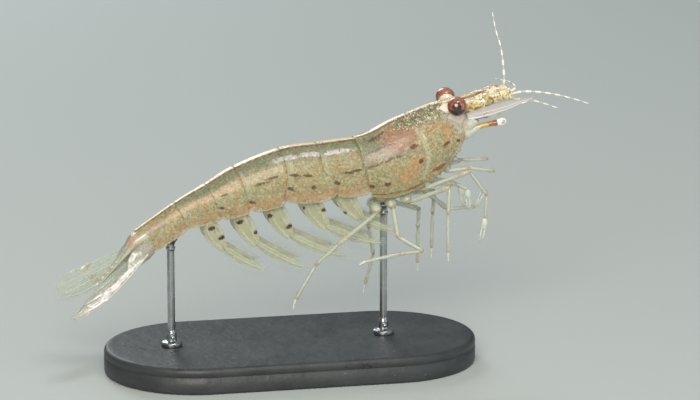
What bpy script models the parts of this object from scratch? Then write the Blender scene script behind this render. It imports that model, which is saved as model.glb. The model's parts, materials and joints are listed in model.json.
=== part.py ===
"""Aquarium shrimp (Caridina multidentata), a life-size display model on a plain stand.

The shrimp is shown swimming, nose up, with its swimmerets beating forwards, its legs hanging and
its tail fan spread. Each hard part of the animal is one closed solid in its own object. Two rods
on a flat base carry it.

Units and frame: sizes below are in millimetres and angles in degrees, and MM turns millimetres
into Blender's metres. +X runs towards the head, +Y to the shrimp's left and +Z up. The origin is
the centre of the base's underside.
"""

import math
from dataclasses import dataclass

import bmesh
import bpy
from mathutils import Vector

MM = 0.001
GAP = 0.09  # clear space between solids that meet
LEFT, RIGHT = 1, -1
SIDES = (("left", LEFT), ("right", RIGHT))

# ---- stand ----
BASE_LENGTH, BASE_WIDTH, BASE_THICKNESS = 34.0, 17.0, 2.4
BASE_EDGE_BEVEL = 0.35
ROD_RADIUS = 0.36
ROD_FRONT_X, ROD_REAR_X = 8.6, -10.9

# ---- abdomen ----
BACK_JOINT = Vector((5.7, 0.0, 20.8))  # where the back leaves the carapace
JOINT_SLOPE = 6.0  # fall of the back there, towards the tail


@dataclass(frozen=True)
class Somite:
    """One ring of the abdomen: its length along the back, its fall towards the tail, its front end."""

    length: float
    fall: float
    height: float
    half_width: float


SOMITES = (
    Somite(3.30, 5.0, 5.05, 2.20),
    Somite(3.40, 6.0, 5.15, 2.26),
    Somite(4.45, 19.5, 5.05, 2.18),
    Somite(2.95, 29.5, 4.45, 1.98),
    Somite(3.20, 29.5, 3.65, 1.68),
    Somite(4.35, 33.5, 2.80, 1.24),
)
TAIL_END = Somite(0.0, 36.0, 2.55, 1.02)  # the section where the telson is hinged
# How far each joint's margin sweeps towards the tail at the lower edge. The second side plate is
# the one that covers both its neighbours.
MARGIN_SWEEP = (-0.72, -0.95, 0.95, 0.45, 0.45, 0.40, 0.0)
PLATE_CORNER = 0.10  # share of the height that rounds off a side plate's lower corners

# ---- carapace, in its own frame: along the animal from its rear edge, and down from its back ----
CARAPACE_PITCH = 23.0


@dataclass(frozen=True)
class Station:
    """A section through the carapace: its top and lower edge as (along, down), and its half width."""

    top: tuple
    edge: tuple
    half_width: float


CARAPACE = (
    Station((0.10, 0.00), (-0.75, 5.35), 2.36),
    Station((1.70, 0.14), (0.80, 6.20), 2.52),
    Station((3.50, 0.04), (2.60, 6.48), 2.60),
    Station((5.30, 0.08), (4.45, 6.36), 2.52),
    Station((7.10, 0.24), (6.10, 6.02), 2.20),
    Station((8.70, 0.58), (7.55, 5.50), 1.72),
)
CHEEK_BULGE = 1.35  # how far the front edge stands forward at the cheek

# ---- rostrum ----
ROSTRUM_LENGTH, ROSTRUM_DEPTH, ROSTRUM_THICKNESS = 4.3, 0.78, 0.5
ROSTRUM_PITCH = 11.0
ROSTRUM_TEETH = 12
TOOTH_HEIGHT = 0.13

# ---- eyes ----
EYE_RADIUS = 0.86
EYE_CENTRE = Vector((14.82, 2.2, 23.62))
EYE_STALK_ROOT = Vector((15.05, 0.42, 22.95))
EYE_STALK_RADIUS = 0.36

# ---- feelers: the points that each horny thread follows ----
FEELER_RADIUS = 0.25
FEELERS = {
    "antennule_outer_flagellum_right": (
        (20.3, -1.12, 24.3), (21.9, -1.2, 24.5), (24.2, -1.4, 24.2), (26.6, -1.7, 23.5),
        (27.5, -1.8, 23.1),
    ),
    "antennule_inner_flagellum_right": (
        (20.3, -0.62, 23.72), (22.4, -0.7, 23.5), (24.5, -0.8, 22.8),
    ),
    "antennule_outer_flagellum_left": (
        (20.05, 1.05, 24.6), (20.0, 1.2, 26.1), (19.8, 1.5, 28.1), (19.4, 1.9, 29.7),
        (19.2, 2.3, 31.2),
    ),
    "antennule_inner_flagellum_left": (
        (20.45, 0.75, 23.95), (21.1, 1.15, 24.4), (20.9, 2.4, 24.7), (20.0, 4.0, 24.75),
    ),
    "antenna_flagellum_right": (
        (19.14, -2.2, 22.09), (18.87, -3.2, 22.3), (17.81, -7.1, 23.14), (16.42, -12.2, 24.23),
        (15.28, -16.4, 25.13), (14.69, -18.6, 25.6),
    ),
    "antenna_flagellum_left": (
        (19.45, 1.8, 22.0), (20.2, 2.3, 21.9), (20.8, 4.0, 21.7), (22.0, 9.0, 20.5),
        (23.1, 14.2, 19.2), (23.8, 18.3, 18.3),
    ),
}

# ---- limbs ----


@dataclass(frozen=True)
class Limb:
    """A jointed limb: its root, then (length, pitch, splay, radius) for each segment.

    Pitch is above the horizon ahead, splay is out from the animal's mid-plane, and the radius is
    taken at the segment's middle.
    """

    root: tuple
    segments: tuple


LIMBS = {
    "maxilliped_right": Limb(
        (14.2, 0.98, 17.45),
        (
            (2.0, 8, 8, 0.34), (2.45, -10, -4, 0.29),
        ),
    ),
    "maxilliped_left": Limb(
        (14.2, 0.98, 17.45),
        (
            (2.0, 14, 8, 0.34), (2.4, 0, -2, 0.29),
        ),
    ),
    "cheliped_1_right": Limb(
        (12.95, 0.9, 16.45),
        (
            (2.1, -4, 9, 0.34), (1.15, -26, 10, 0.28), (1.75, -85, -6, 0.33),
        ),
    ),
    "cheliped_1_left": Limb(
        (12.95, 0.9, 16.45),
        (
            (2.2, -12, 12, 0.34), (1.2, -30, 8, 0.28), (1.6, -78, -6, 0.33),
        ),
    ),
    "cheliped_2_right": Limb(
        (11.75, 1.45, 15.95),
        (
            (4.75, 25, 20, 0.38), (2.7, -55, 4, 0.3), (2.2, -92, -4, 0.27), (2.0, -99, -5, 0.34),
        ),
    ),
    "cheliped_2_left": Limb(
        (11.95, 1.05, 15.85),
        (
            (4.3, -40, 16, 0.36), (2.6, 1, 2, 0.28), (1.7, 64, -8, 0.33),
        ),
    ),
    "leg_3_right": Limb(
        (10.5, 1.4, 14.85),
        (
            (4.3, 27, 29, 0.38), (2.4, -94, 5, 0.31), (3.55, -91, 5, 0.27), (0.8, -95, 0, 0.25),
        ),
    ),
    "leg_3_left": Limb(
        (10.75, 1.35, 15.05),
        (
            (4.1, -7, 32, 0.38), (2.2, -92, 10, 0.31), (3.4, -90, 6, 0.27), (0.9, -97, 0, 0.25),
        ),
    ),
    "leg_4_right": Limb(
        (9.15, 1.3, 14.55),
        (
            (2.9, -88, 33, 0.38), (2.6, -31, 18, 0.36), (2.35, 179, 17, 0.29),
            (3.35, -172, 7, 0.27), (0.75, -160, 0, 0.25),
        ),
    ),
    "leg_4_left": Limb(
        (9.3, 1.3, 14.45),
        (
            (4.25, -22, 30, 0.38), (1.9, -89, 14, 0.31), (3.5, -89, 6, 0.27), (0.8, -95, 0, 0.25),
        ),
    ),
    "leg_5_right": Limb(
        (7.75, 1.55, 14.15),
        (
            (5.5, -154, 31, 0.36), (2.8, -136, -10, 0.3), (3.6, -121, 0, 0.27),
            (0.95, -112, 0, 0.25),
        ),
    ),
    "leg_5_left": Limb(
        (7.9, 1.45, 14.15),
        (
            (3.1, -89, 34, 0.36), (2.7, -78, 10, 0.3), (3.0, -104, 4, 0.27), (0.8, -112, 0, 0.25),
        ),
    ),
}
ELBOW = 0.36  # least distance from a joint to the tube's next ring

# ---- swimmerets, front to rear: (stem length, stem pitch, blade length, blade pitch) ----
SWIMMERETS = (
    (2.85, -56.0, 3.3, -20.0),
    (3.15, -61.0, 5.2, -17.5),
    (3.15, -64.0, 5.3, -21.5),
    (2.95, -63.0, 5.1, -26.5),
    (2.45, -62.0, 4.1, -28.5),
)
SWIMMERET_ROOT_Y, SWIMMERET_ELBOW_SPLAY = 1.0, 12.0
SWIMMERET_THICKNESS = 0.5

# ---- tail fan ----
TELSON_LENGTH, TELSON_FALL = 5.6, 50.0
TELSON_HALF_WIDTHS = (0.80, 0.76, 0.64, 0.50, 0.34)
TELSON_THICKNESSES = (1.25, 1.05, 0.80, 0.60, 0.50)
FAN_DISH = 40.0  # how far the outer edges of the fan's blades are raised


@dataclass(frozen=True)
class Blade:
    """A flat blade given for the left side: its root and tip, and its half widths from root to tip."""

    root: tuple
    tip: tuple
    half_widths: tuple
    thickness: float
    roll: float


BLADES = {
    "uropod_exopod": Blade(
        root=(-13.85, 1.42, 11.15),
        tip=(-20.15, 4.75, 6.95),
        half_widths=(0.34, 0.66, 1.02, 1.22, 1.16, 0.62),
        thickness=0.5,
        roll=FAN_DISH,
    ),
    "uropod_endopod": Blade(
        root=(-14.35, 0.70, 10.75),
        tip=(-20.25, 2.3, 7.05),
        half_widths=(0.30, 0.58, 0.84, 0.92, 0.82, 0.42),
        thickness=0.5,
        roll=FAN_DISH * 0.5,
    ),
    "antenna_scale": Blade(
        root=(16.15, 1.72, 22.25),
        tip=(21.95, 2.05, 23.75),
        half_widths=(0.42, 0.74, 0.86, 0.80, 0.62, 0.30),
        thickness=0.5,
        roll=-22.0,
    ),
}
ANTENNULE_STEM = (
    (15.75, 0.72, 23.35, 0.4), (16.5, 0.86, 23.5, 0.55), (17.5, 0.86, 23.65, 0.46),
    (18.1, 0.86, 23.75, 0.5), (18.9, 0.86, 23.85, 0.42), (20.15, 0.85, 24.0, 0.4),
)
ANTENNA_STEM = (
    (15.95, 1.05, 20.95, 0.5), (16.5, 1.45, 21.3, 0.5), (17.3, 1.7, 21.65, 0.33),
    (18.5, 1.8, 21.88, 0.33), (19.3, 1.8, 22.0, 0.3),
)

# colour, roughness and metallic value of each finish
FINISHES = {
    "shell": ((0.62, 0.56, 0.38), 0.32, 0.0),
    "limb": ((0.72, 0.70, 0.55), 0.35, 0.0),
    "fin": ((0.70, 0.72, 0.60), 0.28, 0.0),
    "eye": ((0.30, 0.09, 0.05), 0.12, 0.0),
    "stand_base": ((0.05, 0.05, 0.055), 0.45, 0.0),
    "stand_rod": ((0.62, 0.62, 0.60), 0.25, 1.0),
}


# ---------------------------------------------------------------- helpers


def clear_scene():
    """Removes every object that the file holds at the start."""
    for obj in list(bpy.data.objects):
        bpy.data.objects.remove(obj, do_unlink=True)


def finish_material(name):
    """The Principled material of one finish, made once."""
    material = bpy.data.materials.get(name)
    if material is None:
        colour, roughness, metallic = FINISHES[name]
        material = bpy.data.materials.new(name)
        material.use_nodes = True
        shader = material.node_tree.nodes["Principled BSDF"]
        shader.inputs["Base Color"].default_value = (*colour, 1.0)
        shader.inputs["Roughness"].default_value = roughness
        shader.inputs["Metallic"].default_value = metallic
    return material


def add_object(name, data, finish):
    """Links an object of this mesh or curve, with its own finish."""
    obj = bpy.data.objects.new(name, data)
    bpy.context.scene.collection.objects.link(obj)
    obj.data.materials.append(finish_material(finish))
    return obj


def mesh_object(name, bm, finish):
    """Turns a bmesh in millimetres into an object in metres, smooth where it is round."""
    bmesh.ops.recalc_face_normals(bm, faces=bm.faces)
    bmesh.ops.scale(bm, vec=(MM, MM, MM), verts=bm.verts)
    mesh = bpy.data.meshes.new(name)
    bm.to_mesh(mesh)
    bm.free()
    mesh.shade_smooth()
    mesh.set_sharp_from_angle(angle=math.radians(40))
    return add_object(name, mesh, finish)


def spline(values, t):
    """A smooth curve through evenly spaced numbers or vectors, at t from 0 to 1."""
    last = len(values) - 1
    place = min(max(t, 0.0), 1.0) * last
    i = min(int(place), last - 1)
    f = place - i
    before = values[i - 1] if i > 0 else 2 * values[0] - values[1]
    after = values[i + 2] if i + 2 <= last else 2 * values[last] - values[last - 1]
    a, b = values[i], values[i + 1]
    square = (2 * before - 5 * a + 4 * b - after) * f**2
    cube = (3 * a - before - 3 * b + after) * f**3
    return 0.5 * (2 * a + (b - before) * f + square + cube)


def ease(x):
    """0 below 0, 1 above 1, and a smooth rise between."""
    x = min(max(x, 0.0), 1.0)
    return x * x * (3 - 2 * x)


def heading(pitch, splay=0.0, side=LEFT):
    """The unit vector that points ahead, raised by pitch and turned out by splay."""
    p, s = math.radians(pitch), math.radians(splay)
    return Vector((math.cos(s) * math.cos(p), side * math.sin(s), math.cos(s) * math.sin(p)))


def mirrored(point, side):
    """A point given for the left side, on the side asked for."""
    return Vector((point[0], point[1] * side, point[2]))


def loft(name, rings, finish):
    """A closed solid through rings of points, each end closed by a fan about its ring's middle."""
    bm = bmesh.new()
    loops = [[bm.verts.new(p) for p in ring] for ring in rings]
    for near, far in zip(loops, loops[1:]):
        for i in range(len(near)):
            j = (i + 1) % len(near)
            bm.faces.new((near[i], near[j], far[j], far[i]))
    for loop in (loops[0], loops[-1]):
        middle = bm.verts.new(sum((v.co for v in loop), Vector()) / len(loop))
        for i in range(len(loop)):
            bm.faces.new((loop[i - 1], loop[i], middle))
    return mesh_object(name, bm, finish)


# ---------------------------------------------------------------- shell sections

WIDEST, TUCK = 0.55, 0.14  # depth where a section is widest, and how far it draws in below
SIDE_POINTS = 8
LIP, BELLY_DEPTH = 0.5, 0.90  # a side plate's thickness, and how deep the belly lies between


def half_arch(keel=1.0, tuck=TUCK):
    """(depth, breadth) down one side, as shares of the height and the half width."""
    points = []
    for i in range(1, SIDE_POINTS + 1):
        share = i / SIDE_POINTS
        if share <= 0.625:
            angle = share / 0.625 * math.pi / 2
            points.append((WIDEST * (1 - math.cos(angle)), math.sin(angle) ** keel))
        else:
            down = (share - 0.625) / 0.375
            points.append((WIDEST + (1 - WIDEST) * down, 1 - tuck * down * down))
    return points


def shell_ring(place, half_width, keel=1.0, tuck=TUCK):
    """A closed section. place(depth) is the mid-plane's point at that share of the height."""
    sides = half_arch(keel, tuck)
    ring = [place(0.0)]
    for side in (LEFT, RIGHT):
        half = [place(d) + Vector((0, side * w * half_width, 0)) for d, w in sides]
        inner = half_width * sides[-1][1] - LIP
        lip = [place(d) + Vector((0, side * inner, 0)) for d in (1.0, BELLY_DEPTH)]
        ring += half + lip + [place(BELLY_DEPTH)] if side == LEFT else (half + lip)[::-1]
    return ring


# ---------------------------------------------------------------- abdomen


def abdomen_line():
    """The back's joints, falls, heights and half widths at the seven section planes of the abdomen."""
    joints, falls = [BACK_JOINT.copy()], [JOINT_SLOPE]
    for here, after in zip(SOMITES, SOMITES[1:] + (TAIL_END,)):
        joints.append(joints[-1] - heading(here.fall) * here.length)
        falls.append((here.fall + after.fall) / 2)
    falls[-1] = TAIL_END.fall
    sections = SOMITES + (TAIL_END,)
    return joints, falls, [s.height for s in sections], [s.half_width for s in sections]


JOINTS, FALLS, HEIGHTS, HALF_WIDTHS = abdomen_line()


def abdomen_place(u, depth, drop=0.0):
    """A point of the mid-plane. u counts somites, and depth is a share of the height."""
    inside = min(max(u, 0.0), len(SOMITES))
    t = inside / len(SOMITES)
    back = -heading(spline(FALLS, t))
    under = Vector((-back.z, 0, back.x))
    beyond = back * (u - inside) * SOMITES[0].length
    return spline(JOINTS, t) + beyond + under * (spline(HEIGHTS, t) * depth + drop)


def margin(joint, depth):
    """Where a joint's margin lies at this depth, counted in somites."""
    length = SOMITES[min(joint, len(SOMITES) - 1)].length
    return joint + MARGIN_SWEEP[joint] * ease((depth - 0.3) / 0.7) / length


def build_somite(index):
    """One ring of the abdomen, with its side plates."""
    rows = 5
    step = GAP / 2 / SOMITES[index].length
    rings = []
    for row in range(rows + 1):
        t = row / rows
        corner = 1 - PLATE_CORNER * abs(2 * t - 1) ** 4

        def place(depth, t=t, corner=corner):
            front, rear = margin(index, depth) + step, margin(index + 1, depth) - step
            return abdomen_place(front + (rear - front) * t, depth * (1 + (corner - 1) * depth))

        u = (index + t) / len(SOMITES)
        rings.append(shell_ring(place, spline(HALF_WIDTHS, u) - 0.04 * (1 - t)))
    return loft(f"abdomen_{index + 1}", rings, "shell")


# ---------------------------------------------------------------- head and carapace


def carapace_frame(along, down):
    """A point of the mid-plane in the carapace's own frame."""
    ahead = heading(CARAPACE_PITCH)
    under = Vector((ahead.z, 0, -ahead.x))
    return BACK_JOINT + ahead * along + under * down


def carapace_place(t, depth):
    """A point of the carapace's mid-plane, t from its rear edge to its front edge."""
    top = spline([Vector(s.top) for s in CARAPACE], t)
    edge = spline([Vector(s.edge) for s in CARAPACE], t)
    point = top.lerp(edge, depth)
    cheek = math.sin(math.pi * min(max((depth - 0.25) / 0.75, 0.0), 1.0))
    return carapace_frame(point.x + CHEEK_BULGE * cheek * t**3, point.y)


def build_carapace():
    """The shield over head and thorax, closed below by the lower edge's plane."""
    rows = 11
    widths = [s.half_width for s in CARAPACE]
    rings = []
    for row in range(rows + 1):
        t = row / rows
        start = GAP / 6
        place = lambda depth, t=start + (1 - start) * t: carapace_place(t, depth)
        rings.append(shell_ring(place, spline(widths, t), keel=1 + 0.25 * t, tuck=0.24))
    return loft("carapace", rings, "shell")


def sternum_edges(t):
    """The top and the underside of the thorax's floor, t along the carapace."""
    top = carapace_place(t, BELLY_DEPTH) - Vector((0, 0, GAP))
    edge = carapace_place(t, 1.0)
    return top, edge + (edge - top).normalized() * (0.83 - 0.92 * t)


def build_sternum():
    """The floor of the thorax, between the carapace's edges, that carries the legs."""
    rings = []
    for row in range(7):
        top, under = sternum_edges(0.09 + 0.60 * row / 6)
        rings.append(oval_ring((top + under) / 2, (top - under) / 2, Vector((0, 0.95, 0)), 10))
    return loft("sternum", rings, "shell")


def oval_ring(centre, up, across, count, power=0.75):
    """A ring of points about a centre, squarer than an ellipse when power is under 1."""
    ring = []
    for i in range(count):
        angle = 2 * math.pi * i / count
        c, s = math.cos(angle), math.sin(angle)
        c, s = math.copysign(abs(c) ** power, c), math.copysign(abs(s) ** power, s)
        ring.append(centre + up * c + across * s)
    return ring


def build_mouthparts():
    """The packed jaws in front of the sternum, under the head."""
    rings = []
    for row, (width, depth) in enumerate(((0.40, 0.26), (0.48, 0.34), (0.46, 0.34), (0.32, 0.26))):
        t = 0.80 + 0.055 * row
        centre = carapace_place(t, 1.0) + Vector((0.12 * row, 0, 0.08))
        rings.append(oval_ring(centre, Vector((0, 0, depth)), Vector((0, width, 0)), 10))
    return loft("mouthparts", rings, "limb")


def build_rostrum():
    """The saw-edged beak that carries on the line of the back between the eyes."""
    ahead = heading(ROSTRUM_PITCH)
    above = Vector((-ahead.z, 0, ahead.x))
    root = carapace_place(1.0, 0.0) + ahead * GAP + above * 0.1
    outline = []
    for tooth in range(ROSTRUM_TEETH):
        share, crest = tooth / ROSTRUM_TEETH, (tooth + 0.75) / ROSTRUM_TEETH
        height = TOOTH_HEIGHT * (1 - 0.5 * share)
        outline.append(root + ahead * ROSTRUM_LENGTH * share)
        outline.append(root + ahead * ROSTRUM_LENGTH * crest + above * height)
    outline.append(root + ahead * ROSTRUM_LENGTH - above * 0.05)
    outline.append(root + ahead * ROSTRUM_LENGTH * 0.45 - above * ROSTRUM_DEPTH * 0.62)
    outline.append(root + ahead * 0.25 - above * ROSTRUM_DEPTH)
    bm = bmesh.new()
    half = Vector((0, ROSTRUM_THICKNESS / 2, 0))
    face = bm.faces.new([bm.verts.new(p - half) for p in outline])
    side = bmesh.ops.extrude_face_region(bm, geom=[face])
    moved = [v for v in side["geom"] if isinstance(v, bmesh.types.BMVert)]
    bmesh.ops.translate(bm, verts=moved, vec=half * 2)
    return mesh_object("rostrum", bm, "shell")


def build_eye(name, side):
    """A round cornea on a short stalk, which stop short of each other by the gap."""
    centre, root = mirrored(EYE_CENTRE, side), mirrored(EYE_STALK_ROOT, side)
    bm = bmesh.new()
    bmesh.ops.create_uvsphere(bm, u_segments=16, v_segments=10, radius=EYE_RADIUS)
    bmesh.ops.translate(bm, verts=bm.verts, vec=centre)
    mesh_object(f"eye_{name}", bm, "eye")
    axis = (centre - root).normalized()
    end = centre - axis * (EYE_RADIUS + GAP * 0.6)
    stops = ((root, 0.8), (root.lerp(end, 0.5), 1.0), (end, 1.15))
    tube(f"eyestalk_{name}", [(p, EYE_STALK_RADIUS * k) for p, k in stops], "limb", 8)


# ---------------------------------------------------------------- limbs and feelers


def turning_frames(points):
    """(tangent, side, up) at each point of a path, carried along it without twist."""
    frames, up = [], None
    for i, point in enumerate(points):
        back = (point - points[i - 1]).normalized() if i > 0 else None
        on = (points[i + 1] - point).normalized() if i + 1 < len(points) else None
        tangent = ((back or on) + (on or back)).normalized()
        if up is None:
            up = Vector((0, 1, 0)).cross(tangent)
        up = (up - tangent * up.dot(tangent)).normalized()
        frames.append((tangent, tangent.cross(up), up))
    return frames


def tube(name, stops, finish, sides):
    """A round solid along (point, radius) stops."""
    rings = []
    for (point, radius), (_, across, up) in zip(stops, turning_frames([p for p, _ in stops])):
        rings.append(oval_ring(point, up * radius, across * radius, sides, power=1.0))
    return loft(name, rings, finish)


def limb_stops(limb, side):
    """The rings of a jointed limb: each segment swells in its middle and narrows at its joints."""
    point = mirrored(limb.root, side)
    ways = [heading(pitch, splay, side) for _, pitch, splay, _ in limb.segments]
    stops = [(point, limb.segments[0][3])]
    for i, (length, _, _, radius) in enumerate(limb.segments):
        end = point + ways[i] * length
        stops.append((point.lerp(end, 0.5), radius))
        if i + 1 < len(ways):
            after = limb.segments[i + 1][3]
            turn = ways[i].angle(ways[i + 1])
            mitre = 1.2 * max(radius, after) * math.tan(min(turn, 2.3) / 2)
            reach = min(max(ELBOW, mitre), length * 0.42)
            stops.append((end - ways[i] * reach, radius * 0.95))
            stops.append((end, (radius + after) / 2))
            stops.append((end + ways[i + 1] * reach, after * 1.0))
        else:
            stops.append((end, max(radius * 0.75, FEELER_RADIUS * 0.96)))
        point = end
    return stops


def build_feeler(name, points):
    """A horny thread, a round cord of even thickness through the points of its route."""
    route = [Vector(p) for p in points]
    steps = 5 * (len(route) - 1)
    curve = bpy.data.curves.new(name, "CURVE")
    curve.dimensions = "3D"
    curve.bevel_depth = FEELER_RADIUS * MM
    curve.bevel_resolution = 1
    curve.use_fill_caps = True
    thread = curve.splines.new("POLY")
    thread.points.add(steps)
    for i in range(steps + 1):
        thread.points[i].co = (*(spline(route, i / steps) * MM), 1.0)
    return add_object(name, curve, "limb")


# ---------------------------------------------------------------- flat blades


def blade(name, path, across, half_widths, thicknesses, finish, rows=7):
    """A flat solid along a path. across(t) is the unit vector towards its edge."""
    rings = []
    for row in range(rows + 1):
        t = row / rows
        ahead = (path(min(t + 0.02, 1.0)) - path(max(t - 0.02, 0.0))).normalized()
        side = across(t)
        side = (side - ahead * side.dot(ahead)).normalized()
        up = ahead.cross(side)
        half = up * spline(thicknesses, t) / 2
        rings.append(oval_ring(path(t), half, side * spline(half_widths, t), 8, power=0.9))
    return loft(name, rings, finish)


def build_blade(name, side, form, finish):
    """A straight blade between its root and its tip, rolled about its length."""
    root, tip = mirrored(form.root, side), mirrored(form.tip, side)
    roll = math.radians(form.roll)
    out = Vector((0, side * math.cos(roll), math.sin(roll)))
    path = lambda t: root.lerp(tip, t)
    return blade(name, path, lambda t: out, form.half_widths, (form.thickness,) * 2, finish)


def build_swimmeret(index, name, side):
    """A swimmeret: a broad stem hung from the belly, then a long pointed blade that sweeps forwards."""
    stem, stem_pitch, reach, reach_pitch = SWIMMERETS[index]
    root = abdomen_place(index + 0.52, BELLY_DEPTH, drop=GAP + 0.22 + 0.08 * index)
    root.y = side * SWIMMERET_ROOT_Y
    elbow = root + heading(stem_pitch, SWIMMERET_ELBOW_SPLAY, side) * stem
    tip = elbow + heading(reach_pitch, 2.0, side) * reach
    middle = elbow.lerp(tip, 0.5) - Vector((0, 0, 0.18))
    route = [root, root.lerp(elbow, 0.55), elbow, middle, tip]
    widths = [0.62, 0.98, 0.78, 0.46, 0.25]
    size = 1 - 0.06 * max(index - 2, 0)
    widths = [w * size for w in widths[:-1]] + widths[-1:]
    edge = Vector((0.9, 0, 0.45))
    path = lambda t: spline(route, t)
    thicknesses = (SWIMMERET_THICKNESS,) * 2
    return blade(f"swimmeret_{index + 1}_{name}", path, lambda t: edge, widths, thicknesses, "fin")


def build_telson():
    """The tail's middle spike, flat, tapering, and hinged to the back's end."""
    root = abdomen_place(len(SOMITES), 0.27) - heading(TELSON_FALL) * (GAP + 0.2)
    way = -heading(TELSON_FALL)
    out = Vector((0, 1, 0))
    path = lambda t: root + way * TELSON_LENGTH * t
    return blade("telson", path, lambda t: out, TELSON_HALF_WIDTHS, TELSON_THICKNESSES, "fin", rows=6)


# ---------------------------------------------------------------- stand


def build_base():
    """A flat slab with round ends and softened edges."""
    radius = BASE_WIDTH / 2
    straight = BASE_LENGTH / 2 - radius
    bm = bmesh.new()
    corners = []
    for i in range(32):
        angle = 2 * math.pi * (i + 0.5) / 32
        shift = math.copysign(straight, math.cos(angle))
        corners.append(bm.verts.new((shift + radius * math.cos(angle), radius * math.sin(angle), 0)))
    face = bm.faces.new(corners)
    top = bmesh.ops.extrude_face_region(bm, geom=[face])
    raised = [v for v in top["geom"] if isinstance(v, bmesh.types.BMVert)]
    bmesh.ops.translate(bm, verts=raised, vec=(0, 0, BASE_THICKNESS))
    rim = [e for e in bm.edges if e.verts[0].co.z == e.verts[1].co.z]
    bmesh.ops.bevel(bm, geom=rim, offset=BASE_EDGE_BEVEL, segments=1, affect="EDGES")
    return mesh_object("stand_base", bm, "stand_base")


def build_rod(name, x, top):
    """An upright rod from the base to the body."""
    bm = bmesh.new()
    bottom = BASE_THICKNESS + GAP
    size = {"radius1": ROD_RADIUS, "radius2": ROD_RADIUS, "depth": top - bottom}
    bmesh.ops.create_cone(bm, cap_ends=True, segments=16, **size)
    bmesh.ops.translate(bm, verts=bm.verts, vec=(x, 0, (top + bottom) / 2))
    return mesh_object(name, bm, "stand_rod")


def height_of(place, low, high, x):
    """The height where a curve place(t) crosses x, for t between low and high."""
    for _ in range(40):
        middle = (low + high) / 2
        if (place(middle).x - x) * (place(low).x - x) <= 0:
            high = middle
        else:
            low = middle
    return place(low).z


def build_stand():
    """The base and its two rods, one under the thorax and one under the last ring of the abdomen."""
    build_base()
    rear = height_of(lambda u: abdomen_place(u, BELLY_DEPTH), 5.0, 6.0, ROD_REAR_X)
    front = height_of(lambda t: sternum_edges(t)[1], 0.09, 0.69, ROD_FRONT_X)
    build_rod("stand_rod_rear", ROD_REAR_X, rear - GAP - ROD_RADIUS * 0.7)
    build_rod("stand_rod_front", ROD_FRONT_X, front - GAP - ROD_RADIUS * 0.5)


def main():
    clear_scene()
    build_stand()
    build_carapace()
    build_sternum()
    build_mouthparts()
    build_rostrum()
    build_telson()
    for index in range(len(SOMITES)):
        build_somite(index)
    for name, side in SIDES:
        build_eye(name, side)
        tube(f"antennule_stem_{name}", [(mirrored(p, side), p[3]) for p in ANTENNULE_STEM], "limb", 10)
        tube(f"antenna_stem_{name}", [(mirrored(p, side), p[3]) for p in ANTENNA_STEM], "limb", 10)
        for part, form in BLADES.items():
            build_blade(f"{part}_{name}", side, form, "fin")
        for index in range(len(SWIMMERETS)):
            build_swimmeret(index, name, side)
    for name, limb in LIMBS.items():
        side = LEFT if name.endswith("left") else RIGHT
        tube(name, limb_stops(limb, side), "limb", 7)
    for name, points in FEELERS.items():
        build_feeler(name, points)


main()
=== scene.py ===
"""The looks of a life-size aquarium shrimp on its display stand.

The shrimp is a clear, speckled shell over soft flesh, with stalked eyes, feelers, jointed legs,
fringed swimmerets and a tail fan. Sizes are in millimetres and angles in degrees unless a name
says otherwise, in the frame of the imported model: +X to the head, +Y to the shrimp's left, +Z up.
"""

import json
import logging
import math
from dataclasses import dataclass, field
from enum import Enum
from typing import Union

import bpy
import numpy as np
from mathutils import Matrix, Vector

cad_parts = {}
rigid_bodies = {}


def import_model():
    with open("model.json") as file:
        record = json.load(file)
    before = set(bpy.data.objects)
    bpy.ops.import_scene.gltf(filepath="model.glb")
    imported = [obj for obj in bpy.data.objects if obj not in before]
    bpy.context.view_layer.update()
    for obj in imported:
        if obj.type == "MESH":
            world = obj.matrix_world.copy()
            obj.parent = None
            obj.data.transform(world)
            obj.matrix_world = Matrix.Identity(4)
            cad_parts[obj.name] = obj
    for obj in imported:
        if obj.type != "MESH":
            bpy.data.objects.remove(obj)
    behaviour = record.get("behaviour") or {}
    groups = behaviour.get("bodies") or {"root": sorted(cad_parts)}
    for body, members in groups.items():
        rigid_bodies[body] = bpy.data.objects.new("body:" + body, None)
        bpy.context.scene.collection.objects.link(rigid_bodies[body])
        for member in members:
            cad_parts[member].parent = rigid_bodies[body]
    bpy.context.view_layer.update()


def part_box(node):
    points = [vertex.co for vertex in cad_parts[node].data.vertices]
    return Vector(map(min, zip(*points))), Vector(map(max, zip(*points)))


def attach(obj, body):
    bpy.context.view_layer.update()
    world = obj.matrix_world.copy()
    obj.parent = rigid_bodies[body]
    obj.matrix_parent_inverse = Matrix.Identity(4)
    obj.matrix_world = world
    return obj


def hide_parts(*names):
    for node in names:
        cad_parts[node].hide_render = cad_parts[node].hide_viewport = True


Array = np.ndarray
Point = tuple[float, float, float]
Route = tuple[Point, ...]
Pair = tuple[float, float]
Pairs = tuple[Pair, ...]
Colour = tuple[float, float, float, float]
Socket = bpy.types.NodeSocket
Thing = bpy.types.Object
Coat = tuple[Socket, object]
MM = 0.001
LOG = logging.getLogger("shrimp")
ROUND_SHARE = 0.625  # how much of the trunk's section is its round back
ROUND_DEPTH = 0.55  # how far down the round back reaches


class Side(Enum):
    """The two sides of the shrimp, with the sign of Y on each."""

    LEFT = 1
    RIGHT = -1

    def named(self, part: str) -> str:
        """The name of a part on this side."""
        return f"{part}_{self.name.lower()}"


# ---------------- sums on arrays


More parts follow.
